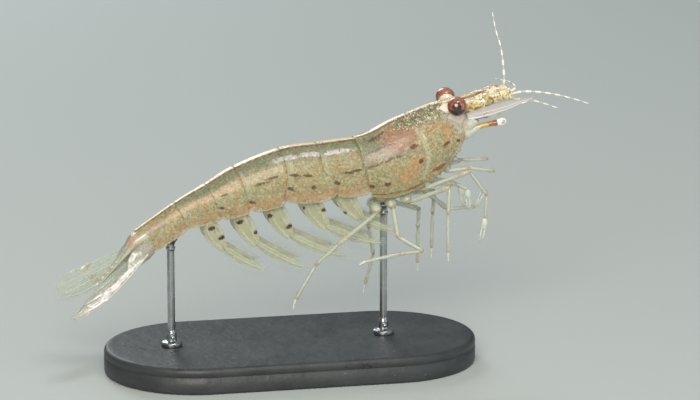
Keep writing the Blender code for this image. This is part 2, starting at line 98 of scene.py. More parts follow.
def smooth(values: object, t: object) -> Array:
    """Reads a smooth curve through evenly spaced values.

    Args:
        values: One number or one row of numbers for each stop.
        t: Where to read it, from 0 to 1, as a number or an array.

    Returns:
        The curve's value at each t.
    """
    stops, t = np.asarray(values, float), np.asarray(t, float)
    last = len(stops) - 1
    place = np.clip(t, 0, 1) * last
    i = np.minimum(place.astype(int), last - 1)
    f = place - i
    if stops.ndim > 1:
        f = f[..., None]
    ends = np.concatenate([[2 * stops[0] - stops[1]], stops, [2 * stops[-1] - stops[-2]]])
    p, a, b, n = ends[i], ends[i + 1], ends[i + 2], ends[i + 3]
    cube = (3 * a - p - 3 * b + n) * f**3
    return 0.5 * (2 * a + (b - p) * f + (2 * p - 5 * a + 4 * b - n) * f**2 + cube)


def ease(x: object, low: float = 0.0, high: float = 1.0) -> Array:
    """A smooth rise from 0 at low to 1 at high, which may be the lower of the two."""
    t = np.clip((np.asarray(x, float) - low) / (high - low), 0, 1)
    return t * t * (3 - 2 * t)


def bell(x: object, centre: float, width: float) -> Array:
    """A bell curve of height 1."""
    return np.exp(-(((np.asarray(x, float) - centre) / width) ** 2))


def vec(x: float, y: float, z: float) -> Array:
    """A point, or a way, from its three parts."""
    return np.array([x, y, z], float)


def ramp(count: int) -> Array:
    """Evenly spaced numbers from 0 to 1."""
    return np.linspace(0, 1, count)


def circle(count: int) -> Array:
    """Evenly spaced angles round a full turn."""
    return np.linspace(0, 2 * math.pi, count, endpoint=False)


def heading(pitch: float, splay: float = 0.0, side: int = 1) -> Array:
    """The unit vector that points ahead, raised by pitch and turned out by splay."""
    p, s = math.radians(pitch), math.radians(splay)
    return vec(math.cos(s) * math.cos(p), side * math.sin(s), math.cos(s) * math.sin(p))


def unit(vectors: Array) -> Array:
    """The vectors at length 1."""
    return vectors / np.maximum(np.linalg.norm(vectors, axis=-1, keepdims=True), 1e-9)


def sided(point: Point, side: Side) -> Array:
    """A point given for the left side, on the side asked for."""
    return vec(point[0], point[1] * side.value, point[2])


def turned(path: Array, up: object = (0, 1, 0)) -> tuple[Array, Array, Array]:
    """Carries a frame along a path without twist.

    Args:
        path: The points of the path.
        up: A vector that the first frame's second axis comes close to.

    Returns:
        The tangents, and the two axes square to each.
    """
    ahead = unit(np.gradient(path, axis=0))
    first = np.array(up, float)
    rows = []
    for way in ahead:
        first = unit(first - way * (first @ way))
        rows.append(first)
    second = np.array(rows)
    return ahead, second, np.cross(ahead, second)


def tube(path: Array, wide: object, tall: object = None, count: int = 12, up: Point = (0, 1, 0)) -> Array:
    """A grid of points round a path.

    Args:
        path: The points of the path.
        wide: The radius along up, for each point or for all.
        tall: The radius across that, or None where it is the same.
        count: How many points go round.
        up: The direction that wide is measured in.

    Returns:
        The grid, with a row for each point of the path.
    """
    _, first, second = turned(path, up)
    angle = circle(count)[None, :, None]
    wide = np.broadcast_to(wide, len(path))[:, None, None]
    tall = wide if tall is None else np.broadcast_to(tall, len(path))[:, None, None]
    across = first[:, None] * np.cos(angle) * wide
    return path[:, None] + across + second[:, None] * np.sin(angle) * tall


def read(path: Array, s: Array) -> Array:
    """The points of a path at shares of its count, read straight between its own."""
    return np.stack([np.interp(s, ramp(len(path)), path[:, i]) for i in range(3)], -1)


def run(start: Array, end: Array, count: int) -> Array:
    """Evenly spaced points on a straight line."""
    return start + (end - start) * ramp(count)[:, None]


# ---------------- meshes


def linked(name: str, data: bpy.types.ID) -> Thing:
    """A new object of the scene, with this data.

    Args:
        name: Its name.
        data: Its mesh, light or camera.

    Returns:
        The object.
    """
    made = bpy.data.objects.new(name, data)
    bpy.context.scene.collection.objects.link(made)
    return made


@dataclass
class Moulding:
    """Gathers grids of points, in millimetres, into one mesh with painted masks."""

    points: list[Array] = field(default_factory=list)
    corners: list[Array] = field(default_factory=list)
    sizes: list[Array] = field(default_factory=list)
    masks: list[dict[str, Array]] = field(default_factory=list)
    count: int = 0

    def _faces(self, faces: Array) -> None:
        """Adds faces that all have the same number of corners."""
        self.corners.append(faces.reshape(-1))
        self.sizes.append(np.full(len(faces), faces.shape[1]))

    def _points(self, points: Array, masks: dict[str, Array]) -> Array:
        """Adds points and their masks, and returns their numbers in the mesh.

        Args:
            points: The points, in any grid.
            masks: A value for each, by the mask's name.

        Returns:
            Their numbers.
        """
        flat = points.reshape(-1, 3)
        shape = points.shape[:-1]
        ids = self.count + np.arange(len(flat)).reshape(shape)
        self.points.append(flat)
        self.masks.append({k: np.broadcast_to(v, shape).reshape(-1) for k, v in masks.items()})
        self.count += len(flat)
        return ids

    def grid(self, grid: Array, wrap: bool = True, **masks: object) -> "Moulding":
        """Adds a grid of quads, and closes both ends of a tube.

        Args:
            grid: Points in rows and columns.
            wrap: Whether each row closes into a ring.
            masks: A value for each point, for each row or for all, by the mask's name.

        Returns:
            The same moulding.
        """
        masks = {k: v[:, None] if np.ndim(v) == 1 else v for k, v in masks.items()}
        middle = grid.reshape(-1, 3).mean(0)
        ring = grid if not wrap else np.concatenate([grid, grid[:, :1]], 1)
        a, b, c = ring[:-1, :-1] - middle, ring[:-1, 1:] - middle, ring[1:, :-1] - middle
        flip = wrap and np.einsum("ijk,ijk", a, np.cross(b, c)) < 0
        ids = self._points(grid, masks)
        ring = ids if not wrap else np.concatenate([ids, ids[:, :1]], 1)
        quads = np.stack([ring[:-1, :-1], ring[:-1, 1:], ring[1:, 1:], ring[1:, :-1]], -1)
        quads = quads.reshape(-1, 4)
        self._faces(quads[:, ::-1] if flip else quads)
        if wrap:
            for row, back in ((0, not flip), (-1, bool(flip))):
                means = {k: np.mean(np.broadcast_to(v, grid.shape[:2])[row]) for k, v in masks.items()}
                hub = self._points(grid[row].mean(0)[None], means)[0]
                fan = np.stack([ring[row, :-1], ring[row, 1:], np.full(ids.shape[1], hub)], -1)
                self._faces(fan[:, ::-1] if back else fan)
        return self

    def spine(self, foot: Array, tip: Array, radius: float, count: int, **masks: float) -> None:
        """Adds a thorn of this radius at its foot, with as many stations as sides."""
        self.grid(tube(run(foot, tip, count), radius * np.linspace(1, 0.1, count), None, count), **masks)

    def hairs(self, roots: Array, tips: Array, radius: float, sag: Array, **masks: object) -> None:
        """Adds three-sided tapering hairs.

        Args:
            roots: Where each hair starts.
            tips: Where each hair ends.
            radius: The radius at the root.
            sag: A vector that moves each hair's middle.
            masks: A value for each hair or for all, by the mask's name.
        """
        way = unit(tips - roots)
        first = unit(np.cross(way, vec(0.31, 0.87, 0.38)))
        second = np.cross(way, first)
        stations = ((roots, 1.0), ((roots + tips) / 2 + sag, 0.7), (tips, 0.15))
        rows = []
        for centre, share in stations:
            ring = [first * math.cos(a) + second * math.sin(a) for a in (0, 2.094, 4.189)]
            rows.append(np.stack([centre + radius * share * out for out in ring], 1))
        ids = self._points(np.stack(rows, 1), masks)
        for row in (0, 1):
            near, far = ids[:, row], ids[:, row + 1]
            pairs = ((0, 1), (1, 2), (2, 0))
            turn = [np.stack([near[:, i], near[:, j], far[:, j], far[:, i]], -1) for i, j in pairs]
            self._faces(np.concatenate(turn))
        self._faces(ids[:, 0, ::-1])
        self._faces(ids[:, 2])

    def make(self, name: str, wall: float = 0.0) -> Thing:
        """Makes the object.

        Args:
            name: Its name.
            wall: The thickness that an open sheet grows inwards, or 0 for a closed one.

        Returns:
            The new object, smooth-shaded.
        """
        mesh = bpy.data.meshes.new(name)
        points, corners = np.concatenate(self.points) * MM, np.concatenate(self.corners)
        sizes = np.concatenate(self.sizes)
        mesh.vertices.add(len(points))
        mesh.vertices.foreach_set("co", points.reshape(-1))
        mesh.loops.add(len(corners))
        mesh.loops.foreach_set("vertex_index", corners.astype(np.int32))
        mesh.polygons.add(len(sizes))
        starts = np.concatenate([[0], np.cumsum(sizes)[:-1]])
        mesh.polygons.foreach_set("loop_start", starts.astype(np.int32))
        mesh.update(calc_edges=True)
        mesh.validate()
        for mask in sorted({k for part in self.masks for k in part}):
            values = [part.get(mask, np.zeros(len(p))) for part, p in zip(self.masks, self.points)]
            layer = mesh.attributes.new(mask, "FLOAT", "POINT")
            layer.data.foreach_set("value", np.concatenate(values).astype(np.float32))
        mesh.shade_smooth()
        piece = linked(name, mesh)
        if wall:
            thick = piece.modifiers.new("wall", "SOLIDIFY")
            thick.thickness, thick.offset, thick.use_even_offset = wall * MM, -1.0, True
        return piece


def place(form: Moulding, name: str, finish: "Finish", slot: str, *nodes: str, wall: float = 0.0) -> Thing:
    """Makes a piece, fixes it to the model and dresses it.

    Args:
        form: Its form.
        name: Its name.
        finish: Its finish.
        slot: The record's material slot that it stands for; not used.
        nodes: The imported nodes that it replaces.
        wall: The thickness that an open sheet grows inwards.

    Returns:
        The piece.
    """
    piece = form.make(name, wall)
    piece.data.materials.append(finish.make())
    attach(piece, "root")
    if nodes:
        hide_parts(*nodes)
    LOG.info("%s: %d points, in place of %s", name, form.count, nodes or "nothing")
    return piece


# ---------------- painting masks


def blot(x: Array, y: Array, centre: Pair, reach: Pair, turn: float = 0.0) -> Array:
    """A soft-edged oval mark.

    Args:
        x: The first surface coordinate of each point.
        y: The second.
        centre: Where the mark's middle is, in x and y.
        reach: Its half sizes in x and y.
        turn: Its turn from x towards y, in degrees.

    Returns:
        1 inside the mark and 0 outside it.
    """
    c, s = math.cos(math.radians(turn)), math.sin(math.radians(turn))
    dx, dy = x - centre[0], y - centre[1]
    return ease(np.hypot((dx * c + dy * s) / reach[0], (dy * c - dx * s) / reach[1]), 1.35, 0.65)


def blots(x: Array, y: Array, *marks: tuple[float, ...]) -> Array:
    """The strongest of several oval marks, each given as its x, y, half sizes and turn."""
    return np.maximum.reduce([blot(x, y, mark[:2], mark[2:4], *mark[4:]) for mark in marks])


def strokes(x: Array, y: Array, *lines: tuple[Pairs, object]) -> Array:
    """The strongest of several lines, each given as its route and half widths."""
    return np.maximum.reduce([stroke(x, y, *line) for line in lines])


def stroke(x: Array, y: Array, route: Pairs, width: object) -> Array:
    """A soft-edged line along a route.

    Args:
        x: The first surface coordinate of each point.
        y: The second.
        route: The corners that the line runs through, in x and y.
        width: Its half width, as one number or one for each corner.

    Returns:
        1 on the line and 0 off it.
    """
    widths = np.broadcast_to(width, len(route))
    mask = np.zeros(np.broadcast(x, y).shape)
    for (ax, ay), (bx, by), low, high in zip(route, route[1:], widths, widths[1:]):
        ahead = (x - ax) * (bx - ax) + (y - ay) * (by - ay)
        t = np.clip(ahead / ((bx - ax) ** 2 + (by - ay) ** 2), 0, 1)
        away = np.hypot(x - ax - t * (bx - ax), y - ay - t * (by - ay)) / (low + (high - low) * t)
        mask = np.maximum(mask, ease(away, 1.4, 0.6))
    return mask


# ---------------- the trunk's form


def arch(share: Array, keel: object = 1.0, tuck: float = 0.14) -> tuple[Array, Array]:
    """The section of the trunk's shell.

    Args:
        share: From 0 at the back to 1 at the lower edge, or to -1 on the right.
        keel: Over 1 where the back is pinched into a ridge.
        tuck: How far the lower edge draws in.

    Returns:
        The depth and the breadth, as shares of the height and the half width.
    """
    away = np.abs(share)
    angle = np.minimum(away / ROUND_SHARE, 1) * math.pi / 2
    down = np.clip((away - ROUND_SHARE) / (1 - ROUND_SHARE), 0, None)
    depth = ROUND_DEPTH * (1 - np.cos(angle)) + (1 - ROUND_DEPTH) * down
    return depth, np.sin(angle) ** keel * (1 - tuck * down**2) * np.sign(share)


def raised(sheet: Array, height: object) -> Array:
    """A sheet moved out along its own normals, by a height for each point or for all."""
    normal = unit(np.cross(np.gradient(sheet, axis=1), np.gradient(sheet, axis=0)))
    return sheet + normal * np.broadcast_to(height, sheet.shape[:2])[..., None]


@dataclass(frozen=True)
class Somite:
    """One ring of the abdomen: its length and fall, and its front end's height and half width."""

    length: float
    fall: float
    height: float
    half_width: float


@dataclass(frozen=True)
class Back:
    """The line of the abdomen. Places on it are counted in somites from the front."""

    joint: Point = (5.7, 0.0, 20.8)
    slope: float = 6.0
    somites: tuple[Somite, ...] = (
        Somite(3.3, 5.0, 5.05, 2.2), Somite(3.4, 6.0, 5.15, 2.26), Somite(4.45, 19.5, 5.05, 2.18),
        Somite(2.95, 29.5, 4.45, 1.98), Somite(3.2, 29.5, 3.65, 1.68), Somite(4.35, 33.5, 2.8, 1.24),
        Somite(0.0, 36.0, 2.55, 1.02)
    )
    sweep: tuple[float, ...] = (-0.72, -0.95, 0.95, 0.45, 0.45, 0.4, 0.0)

    def place(self, u: Array, depth: Array, drop: float = 0.0) -> Array:
        """A point of the mid-plane.

        Args:
            u: How many somites from the front.
            depth: The share of the height below the back.
            drop: How much further down, in millimetres.

        Returns:
            The points.
        """
        u, depth = np.broadcast_arrays(np.asarray(u, float), np.asarray(depth, float))
        joints = [np.array(self.joint)]
        for somite in self.somites[:-1]:
            joints.append(joints[-1] - heading(somite.fall) * somite.length)
        pairs = zip(self.somites, self.somites[1:-1])
        falls = [self.slope, *((a.fall + b.fall) / 2 for a, b in pairs), self.somites[-1].fall]
        inside = np.clip(u, 0, len(joints) - 1)
        t = inside / (len(joints) - 1)
        fall = np.radians(smooth(falls, t))
        back = np.stack([-np.cos(fall), 0 * fall, -np.sin(fall)], -1)
        under = np.stack([-back[..., 2], 0 * fall, back[..., 0]], -1)
        reach = smooth([s.height for s in self.somites], t) * depth + drop
        beyond = (u - inside) * self.somites[0].length
        return smooth(joints, t) + back * beyond[..., None] + under * reach[..., None]

    def margin(self, joint: int, depth: Array) -> Array:
        """Where a joint's margin lies at each depth, in somites from the front."""
        length = self.somites[min(joint, len(self.somites) - 2)].length
        return joint + self.sweep[joint] * ease(depth, 0.3, 1.0) / length

    def half_width(self, u: Array) -> Array:
        """Half the width of the abdomen."""
        return smooth([s.half_width for s in self.somites], np.asarray(u) / (len(self.somites) - 1))

    def shell(self, u: Array, share: Array, inset: object = 0.0, trim: object = 1.0) -> Array:
        """Points of the shell, or of a surface inset from it, with the depth trimmed at the lower edge.

        Args:
            u: Places along it, in somites.
            share: Places round it, from -1 to 1.
            inset: How far in, in millimetres.
            trim: How much of the depth is kept at the lower edge.

        Returns:
            The points.
        """
        depth, breadth = arch(share)
        points = self.place(u, depth * (1 + (trim - 1) * depth))
        points[..., 1] = self.half_width(u) * breadth
        middle = self.place(u, 0.5 + 0 * depth)
        return points - unit(points - middle) * inset


@dataclass(frozen=True)
class Shield:
    """The form of the carapace. Places on it run from 0 at the rear edge to 1 at the front edge."""

    joint: Point = (5.7, 0.0, 20.8)
    pitch: float = 23.0
    tops: Pairs = ((0.1, 0.0), (1.7, 0.14), (3.5, 0.04), (5.3, 0.08), (7.1, 0.24), (8.7, 0.58))
    edges: Pairs = ((-0.75, 5.35), (0.8, 6.2), (2.6, 6.48), (4.45, 6.36), (6.1, 6.02), (7.55, 5.5))
    half_widths: tuple[float, ...] = (2.36, 2.52, 2.6, 2.52, 2.2, 1.72)
    cheek: float = 1.35
    tuck: float = 0.24

    def place(self, t: Array, depth: Array) -> Array:
        """A point of the mid-plane at this share of the length and of the depth.

        Args:
            t: Places along it, from 0 to 1.
            depth: The share of the height below the back.

        Returns:
            The points.
        """
        t, depth = np.broadcast_arrays(np.asarray(t, float), np.asarray(depth, float))
        top, edge = smooth(self.tops, t), smooth(self.edges, t)
        flat = top + (edge - top) * depth[..., None]
        bulge = self.cheek * np.sin(math.pi * np.clip((depth - 0.25) / 0.75, 0, 1)) * t**3
        ahead = heading(self.pitch)
        under = vec(ahead[2], 0, -ahead[0])
        return np.array(self.joint) + ahead * (flat[..., :1] + bulge[..., None]) + under * flat[..., 1:]

    def shell(self, t: Array, share: Array, inset: object = 0.0) -> Array:
        """Points of the shell, or of a surface inset from it.

        Args:
            t: Places along it, from 0 to 1.
            share: Places round it, from -1 to 1.
            inset: How far in, in millimetres.

        Returns:
            The points.
        """
        depth, breadth = arch(share, 1 + 0.25 * t, self.tuck)
        points = self.place(t, depth)
        points[..., 1] = smooth(self.half_widths, t) * breadth
        middle = self.place(t, 0.5 + 0 * depth)
        return points - unit(points - middle) * inset


# ---------------- shader nodes


def tint(code: str) -> Colour:
    """The linear colour of a six-letter hexadecimal code."""
    parts = [int(code[i : i + 2], 16) / 255 for i in (0, 2, 4)]
    return (*(p / 12.92 if p <= 0.04045 else ((p + 0.055) / 1.055) ** 2.4 for p in parts), 1.0)


class Nodes:
    """Adds shader nodes to a tree and joins them up."""

    def __init__(self, tree: bpy.types.NodeTree) -> None:
        """Starts on a tree."""
        self.tree = tree

    def feed(self, socket: Socket, value: object) -> None:
        """Links a socket's value in, or sets a plain one.

        Args:
            socket: The input.
            value: A socket or a plain value.
        """
        if isinstance(value, bpy.types.NodeSocket):
            self.tree.links.new(value, socket)
        else:
            socket.default_value = value

    def add(self, kind: str, sockets: dict[object, object], **settings: object) -> bpy.types.Node:
        """Adds a node.

        Args:
            kind: Its type, without the word ShaderNode.
            sockets: What goes into its inputs, by name or number.
            settings: Its properties.

        Returns:
            The node.
        """
        node = self.tree.nodes.new(kind if kind.startswith("Node") else f"ShaderNode{kind}")
        for name, value in settings.items():
            setattr(node, name, value)
        for name, value in sockets.items():
            self.feed(node.inputs[name], value)
        return node

    def sum(self, operation: str, a: object, b: object = 0.0, clamp: bool = False) -> Socket:
        """The result of a Math node."""
        return self.add("Math", {0: a, 1: b}, operation=operation, use_clamp=clamp).outputs[0]

    def mix(self, factor: object, a: object, b: object) -> Socket:
        """A mix of two colours."""
        return self.add("Mix", {0: factor, 6: a, 7: b}, data_type="RGBA").outputs[2]

    def rise(self, value: object, low: object, high: object) -> Socket:
        """A smooth rise of a value from 0 at low to 1 at high."""
        sockets = {0: value, 1: low, 2: high}
        return self.add("MapRange", sockets, interpolation_type="SMOOTHSTEP").outputs[0]

    def mask(self, name: str) -> Socket:
        """A painted mask of the mesh."""
        return self.add("Attribute", {}, attribute_name=name).outputs["Fac"]

    def where(self) -> Socket:
        """The place on the object, in metres."""
        return self.add("TexCoord", {}).outputs["Object"]

    def noise(self, scale: object, detail: float = 3.0, where: object = None) -> Socket:
        """Soft noise of a scale given in waves to a metre."""
        sockets = {"Vector": where or self.where(), "Scale": scale, "Detail": detail}
        return self.add("TexNoise", sockets).outputs[0]

    def bump(self, strength: float, distance: float, height: object) -> Socket:
        """The normal that a height gives, over a distance in millimetres."""
        sockets = {"Strength": strength, "Distance": distance * MM, "Height": height}
        return self.add("Bump", sockets).outputs[0]

    def cells(self, scale: object, where: object = None) -> bpy.types.Node:
        """A Voronoi texture of a scale given in cells to a metre."""
        return self.add("TexVoronoi", {"Vector": where or self.where(), "Scale": scale})

    def warped(self, scale: object, size: object) -> Socket:
        """The place, pushed about by noise of a scale in waves to a metre, by up to a size in millimetres.

        Args:
            scale: The noise's waves to a metre.
            size: The furthest push, in millimetres.

        Returns:
            The pushed place.
        """
        sockets = {"Vector": self.where(), "Scale": scale, "Detail": 3.0}
        push = self.add("TexNoise", sockets).outputs["Color"]
        push = self.add("VectorMath", {0: push, 1: (0.5, 0.5, 0.5)}, operation="SUBTRACT").outputs[0]
        reach = self.sum("MULTIPLY", size, 2.4 * MM)
        push = self.add("VectorMath", {0: push, "Scale": reach}, operation="SCALE").outputs[0]
        return self.add("VectorMath", {0: self.where(), 1: push}, operation="ADD").outputs[0]


def blank(name: str) -> tuple[bpy.types.Material, Nodes, object]:
    """A new material, its nodes and its shader's inputs.

    Args:
        name: Its name.

    Returns:
        The material, its nodes and its shader's inputs.
    """
    material = bpy.data.materials.new(name)
    material.use_nodes = True
    tree = material.node_tree
    return material, Nodes(tree), tree.nodes["Principled BSDF"].inputs


class Effect(Enum):
    """The shared effects: name, output and inputs."""

    RAGGED = ("Ragged edge", "Mask", "Mask", "Size", "Amount", "Soft")
    FRECKLES = ("Freckles", "Mask", "Mask", "Size", "Reach")
    MOTTLE = ("Mottle", "Value", "Size", "Contrast")
    RELIEF = ("Relief", "Height", "Size", "Pores")
    FIBRES = ("Fibres", "Mask", "Along", "Across", "Size", "Stretch")

    def tree(self) -> bpy.types.NodeTree:
        """The effect's node group, made the first time. Sizes are in millimetres.

        Returns:
            The group.
        """
        name, result, *inputs = self.value
        if name in bpy.data.node_groups:
            return bpy.data.node_groups[name]
        tree = bpy.data.node_groups.new(name, "ShaderNodeTree")
        for socket, way in ((result, "OUTPUT"), *((each, "INPUT") for each in inputs)):
            tree.interface.new_socket(name=socket, in_out=way, socket_type="NodeSocketFloat")
        nodes = Nodes(tree)
        given = nodes.add("NodeGroupInput", {}).outputs
        nodes.add("NodeGroupOutput", {result: self.draw(nodes, given)})
        return tree

    def draw(self, nodes: Nodes, given: object) -> Socket:
        """Draws the effect inside its group.

        Args:
            nodes: The group's nodes.
            given: The group's input sockets.

        Returns:
            What the group puts out.
        """
        waves = nodes.sum("DIVIDE", 1000.0, given["Size"])
        if self is Effect.RAGGED:
            wobble = nodes.sum("SUBTRACT", nodes.noise(waves, 4.0), 0.5)
            bent = nodes.sum("MULTIPLY", wobble, nodes.sum("MULTIPLY", given["Amount"], 2.4))
            bent = nodes.sum("MULTIPLY", bent, nodes.rise(given["Mask"], 0.0, 0.25))
            low, high = (nodes.sum(way, 0.5, given["Soft"]) for way in ("SUBTRACT", "ADD"))
            return nodes.rise(nodes.sum("ADD", given["Mask"], bent), low, high)
        if self is Effect.FIBRES:
            along = nodes.sum("DIVIDE", given["Along"], given["Stretch"])
            where = nodes.add("CombineXYZ", {0: along, 1: given["Across"]}).outputs[0]
            return nodes.noise(nodes.sum("DIVIDE", 1.0, given["Size"]), 4.0, where)
        if self is Effect.FRECKLES:
            cells = nodes.cells(waves, nodes.warped(nodes.sum("MULTIPLY", waves, 1.3), given["Size"]))
            own = nodes.add("SeparateColor", {0: cells.outputs["Color"]}).outputs
            reach = nodes.sum("MULTIPLY", given["Reach"], nodes.sum("ADD", own[0], 0.35))
            dot = nodes.rise(cells.outputs["Distance"], reach, nodes.sum("MULTIPLY", reach, 0.35))
            kept = nodes.rise(nodes.sum("SUBTRACT", given["Mask"], own[1]), -0.05, 0.05)
            return nodes.sum("MULTIPLY", dot, kept)
        if self is Effect.MOTTLE:
            cloud = nodes.sum("SUBTRACT", nodes.noise(waves, 5.0), 0.5)
            cloud = nodes.sum("MULTIPLY", cloud, nodes.sum("MULTIPLY", given["Contrast"], 4.0))
            return nodes.sum("ADD", cloud, 0.5, True)
        pore = nodes.rise(nodes.cells(waves).outputs["Distance"], 0.0, 0.35)
        dip = nodes.sum("MULTIPLY", pore, given["Pores"])
        return nodes.sum("ADD", nodes.noise(nodes.sum("MULTIPLY", waves, 0.6), 4.0), dip)

    def use(self, nodes: Nodes, **values: object) -> Socket:
        """Places the effect in a material with its own values, by input name.

        Args:
            nodes: The material's nodes.
            values: What goes into its inputs.

        Returns:
            What it puts out.
        """
        group = nodes.add("Group", {}, node_tree=self.tree())
        for name, value in values.items():
            nodes.feed(group.inputs[name.capitalize()], value)
        return group.outputs[0]


@dataclass(frozen=True)
class Layer:
    """A colour that lies over a finish where a painted mask is, with an edge broken up by grain."""

    mask: str
    tone: str
    cover: float = 0.95
    ragged: float = 0.5
    grain: float = 0.3
    soft: float = 0.2
    blend: float = 1.0


@dataclass(frozen=True)
class Cloud:
    """Small irregular patches over a finish, of a size in millimetres and a share of the surface."""

    tone: str
    size: float
    share: float
    blend: float = 0.6
    cover: float = 0.8


@dataclass(frozen=True)
class Freckles:
    """Small dots over a finish, as thick as a painted mask or a plain share says."""

    tone: str
    size: float
    reach: float
    share: object = 1.0
    cover: float = 0.95
    blend: float = 1.0


Mark = Union[Layer, Cloud, Freckles]


@dataclass(frozen=True)
class Finish:
    """A finish of the shrimp: two mixed tones, layers and freckles over them, relief and gloss."""

    name: str
    tone: str
    second: str
    patch: float = 0.6
    cover: float = 1.0
    clouds: tuple[Cloud, ...] = ()
    layers: tuple[Layer, ...] = ()
    freckles: tuple[Freckles, ...] = ()
    top_layers: tuple[Layer, ...] = ()
    roughness: float = 0.34
    relief: float = 0.25
    relief_size: float = 0.12
    pores: float = 0.3
    soft: float = 0.0
    coat: float = 0.0
    metallic: float = 0.0

    def colour(self, nodes: Nodes) -> Coat:
        """The colour and the cover, from the tones up.

        Args:
            nodes: The material's nodes.

        Returns:
            The colour socket, and the cover as a socket or a plain 1.
        """
        cloud = Effect.MOTTLE.use(nodes, size=self.patch, contrast=0.55)
        colour, cover = nodes.mix(cloud, tint(self.tone), tint(self.second)), self.cover
        for patch in self.clouds:
            mottle = Effect.MOTTLE.use(nodes, size=patch.size, contrast=1.0)
            mask = nodes.rise(mottle, 0.95 - patch.share, 1.15 - patch.share)
            colour, cover = self.over(nodes, mask, patch, colour, cover)
        for layer in self.layers:
            colour, cover = self.over(nodes, self.painted(nodes, layer), layer, colour, cover)
        for dots in self.freckles:
            share = nodes.mask(dots.share) if isinstance(dots.share, str) else dots.share
            mask = Effect.FRECKLES.use(nodes, mask=share, size=dots.size, reach=dots.reach)
            colour, cover = self.over(nodes, mask, dots, colour, cover)
        for layer in self.top_layers:
            colour, cover = self.over(nodes, self.painted(nodes, layer), layer, colour, cover)
        return colour, cover

    def painted(self, nodes: Nodes, layer: Layer) -> Socket:
        """A layer's painted mask, with its edge broken up.

        Args:
            nodes: The material's nodes.
            layer: The layer.

        Returns:
            The mask.
        """
        mask = nodes.mask(layer.mask)
        if not layer.ragged:
            return mask
        return Effect.RAGGED.use(nodes, mask=mask, size=layer.grain, amount=layer.ragged, soft=layer.soft)

    def over(self, nodes: Nodes, mask: Socket, mark: Mark, colour: Socket, under: object) -> Coat:
        """Lays a mark's tone over a colour, and its cover over the cover so far.

        Args:
            nodes: The material's nodes.
            mask: Where the mark lies.
            mark: The mark.
            colour: The colour below it.
            under: The cover below it.

        Returns:
            The new colour and cover.
        """
        if mark.blend < 1:
            mask = nodes.sum("MULTIPLY", mask, mark.blend)
        if self.cover < 1:
            gain = nodes.sum("MULTIPLY", mask, nodes.sum("SUBTRACT", mark.cover, under))
            under = nodes.sum("ADD", under, gain, True)
        return nodes.mix(mask, colour, tint(mark.tone)), under

    def make(self) -> bpy.types.Material:
        """The material, made once.

        Returns:
            The material.
        """
        if self.name in bpy.data.materials:
            return bpy.data.materials[self.name]
        material, nodes, shader = blank(self.name)
        colour, cover = self.colour(nodes)
        nodes.feed(shader["Base Color"], colour)
        if self.cover < 1:
            nodes.feed(shader["Alpha"], cover)
        rough = nodes.sum("MULTIPLY", nodes.noise(1000 / self.patch), 0.3)
        nodes.feed(shader["Roughness"], nodes.sum("ADD", rough, self.roughness - 0.15))
        height = Effect.RELIEF.use(nodes, size=self.relief_size, pores=self.pores)
        nodes.feed(shader["Normal"], nodes.bump(self.relief, self.relief_size * 0.25, height))
        nodes.feed(shader["Subsurface Weight"], self.soft)
        nodes.feed(shader["Subsurface Radius"], (1.0, 0.55, 0.35))
        nodes.feed(shader["Subsurface Scale"], 0.5 * MM)
        nodes.feed(shader["Coat Weight"], self.coat)
        nodes.feed(shader["Coat Roughness"], 0.12)
        nodes.feed(shader["Metallic"], self.metallic)
        self.extras(nodes, shader)
        return material

    def extras(self, nodes: Nodes, shader: object) -> None:
        """What a kind of finish adds to its shader. Most add nothing."""


# ---------------- abdomen and carapace


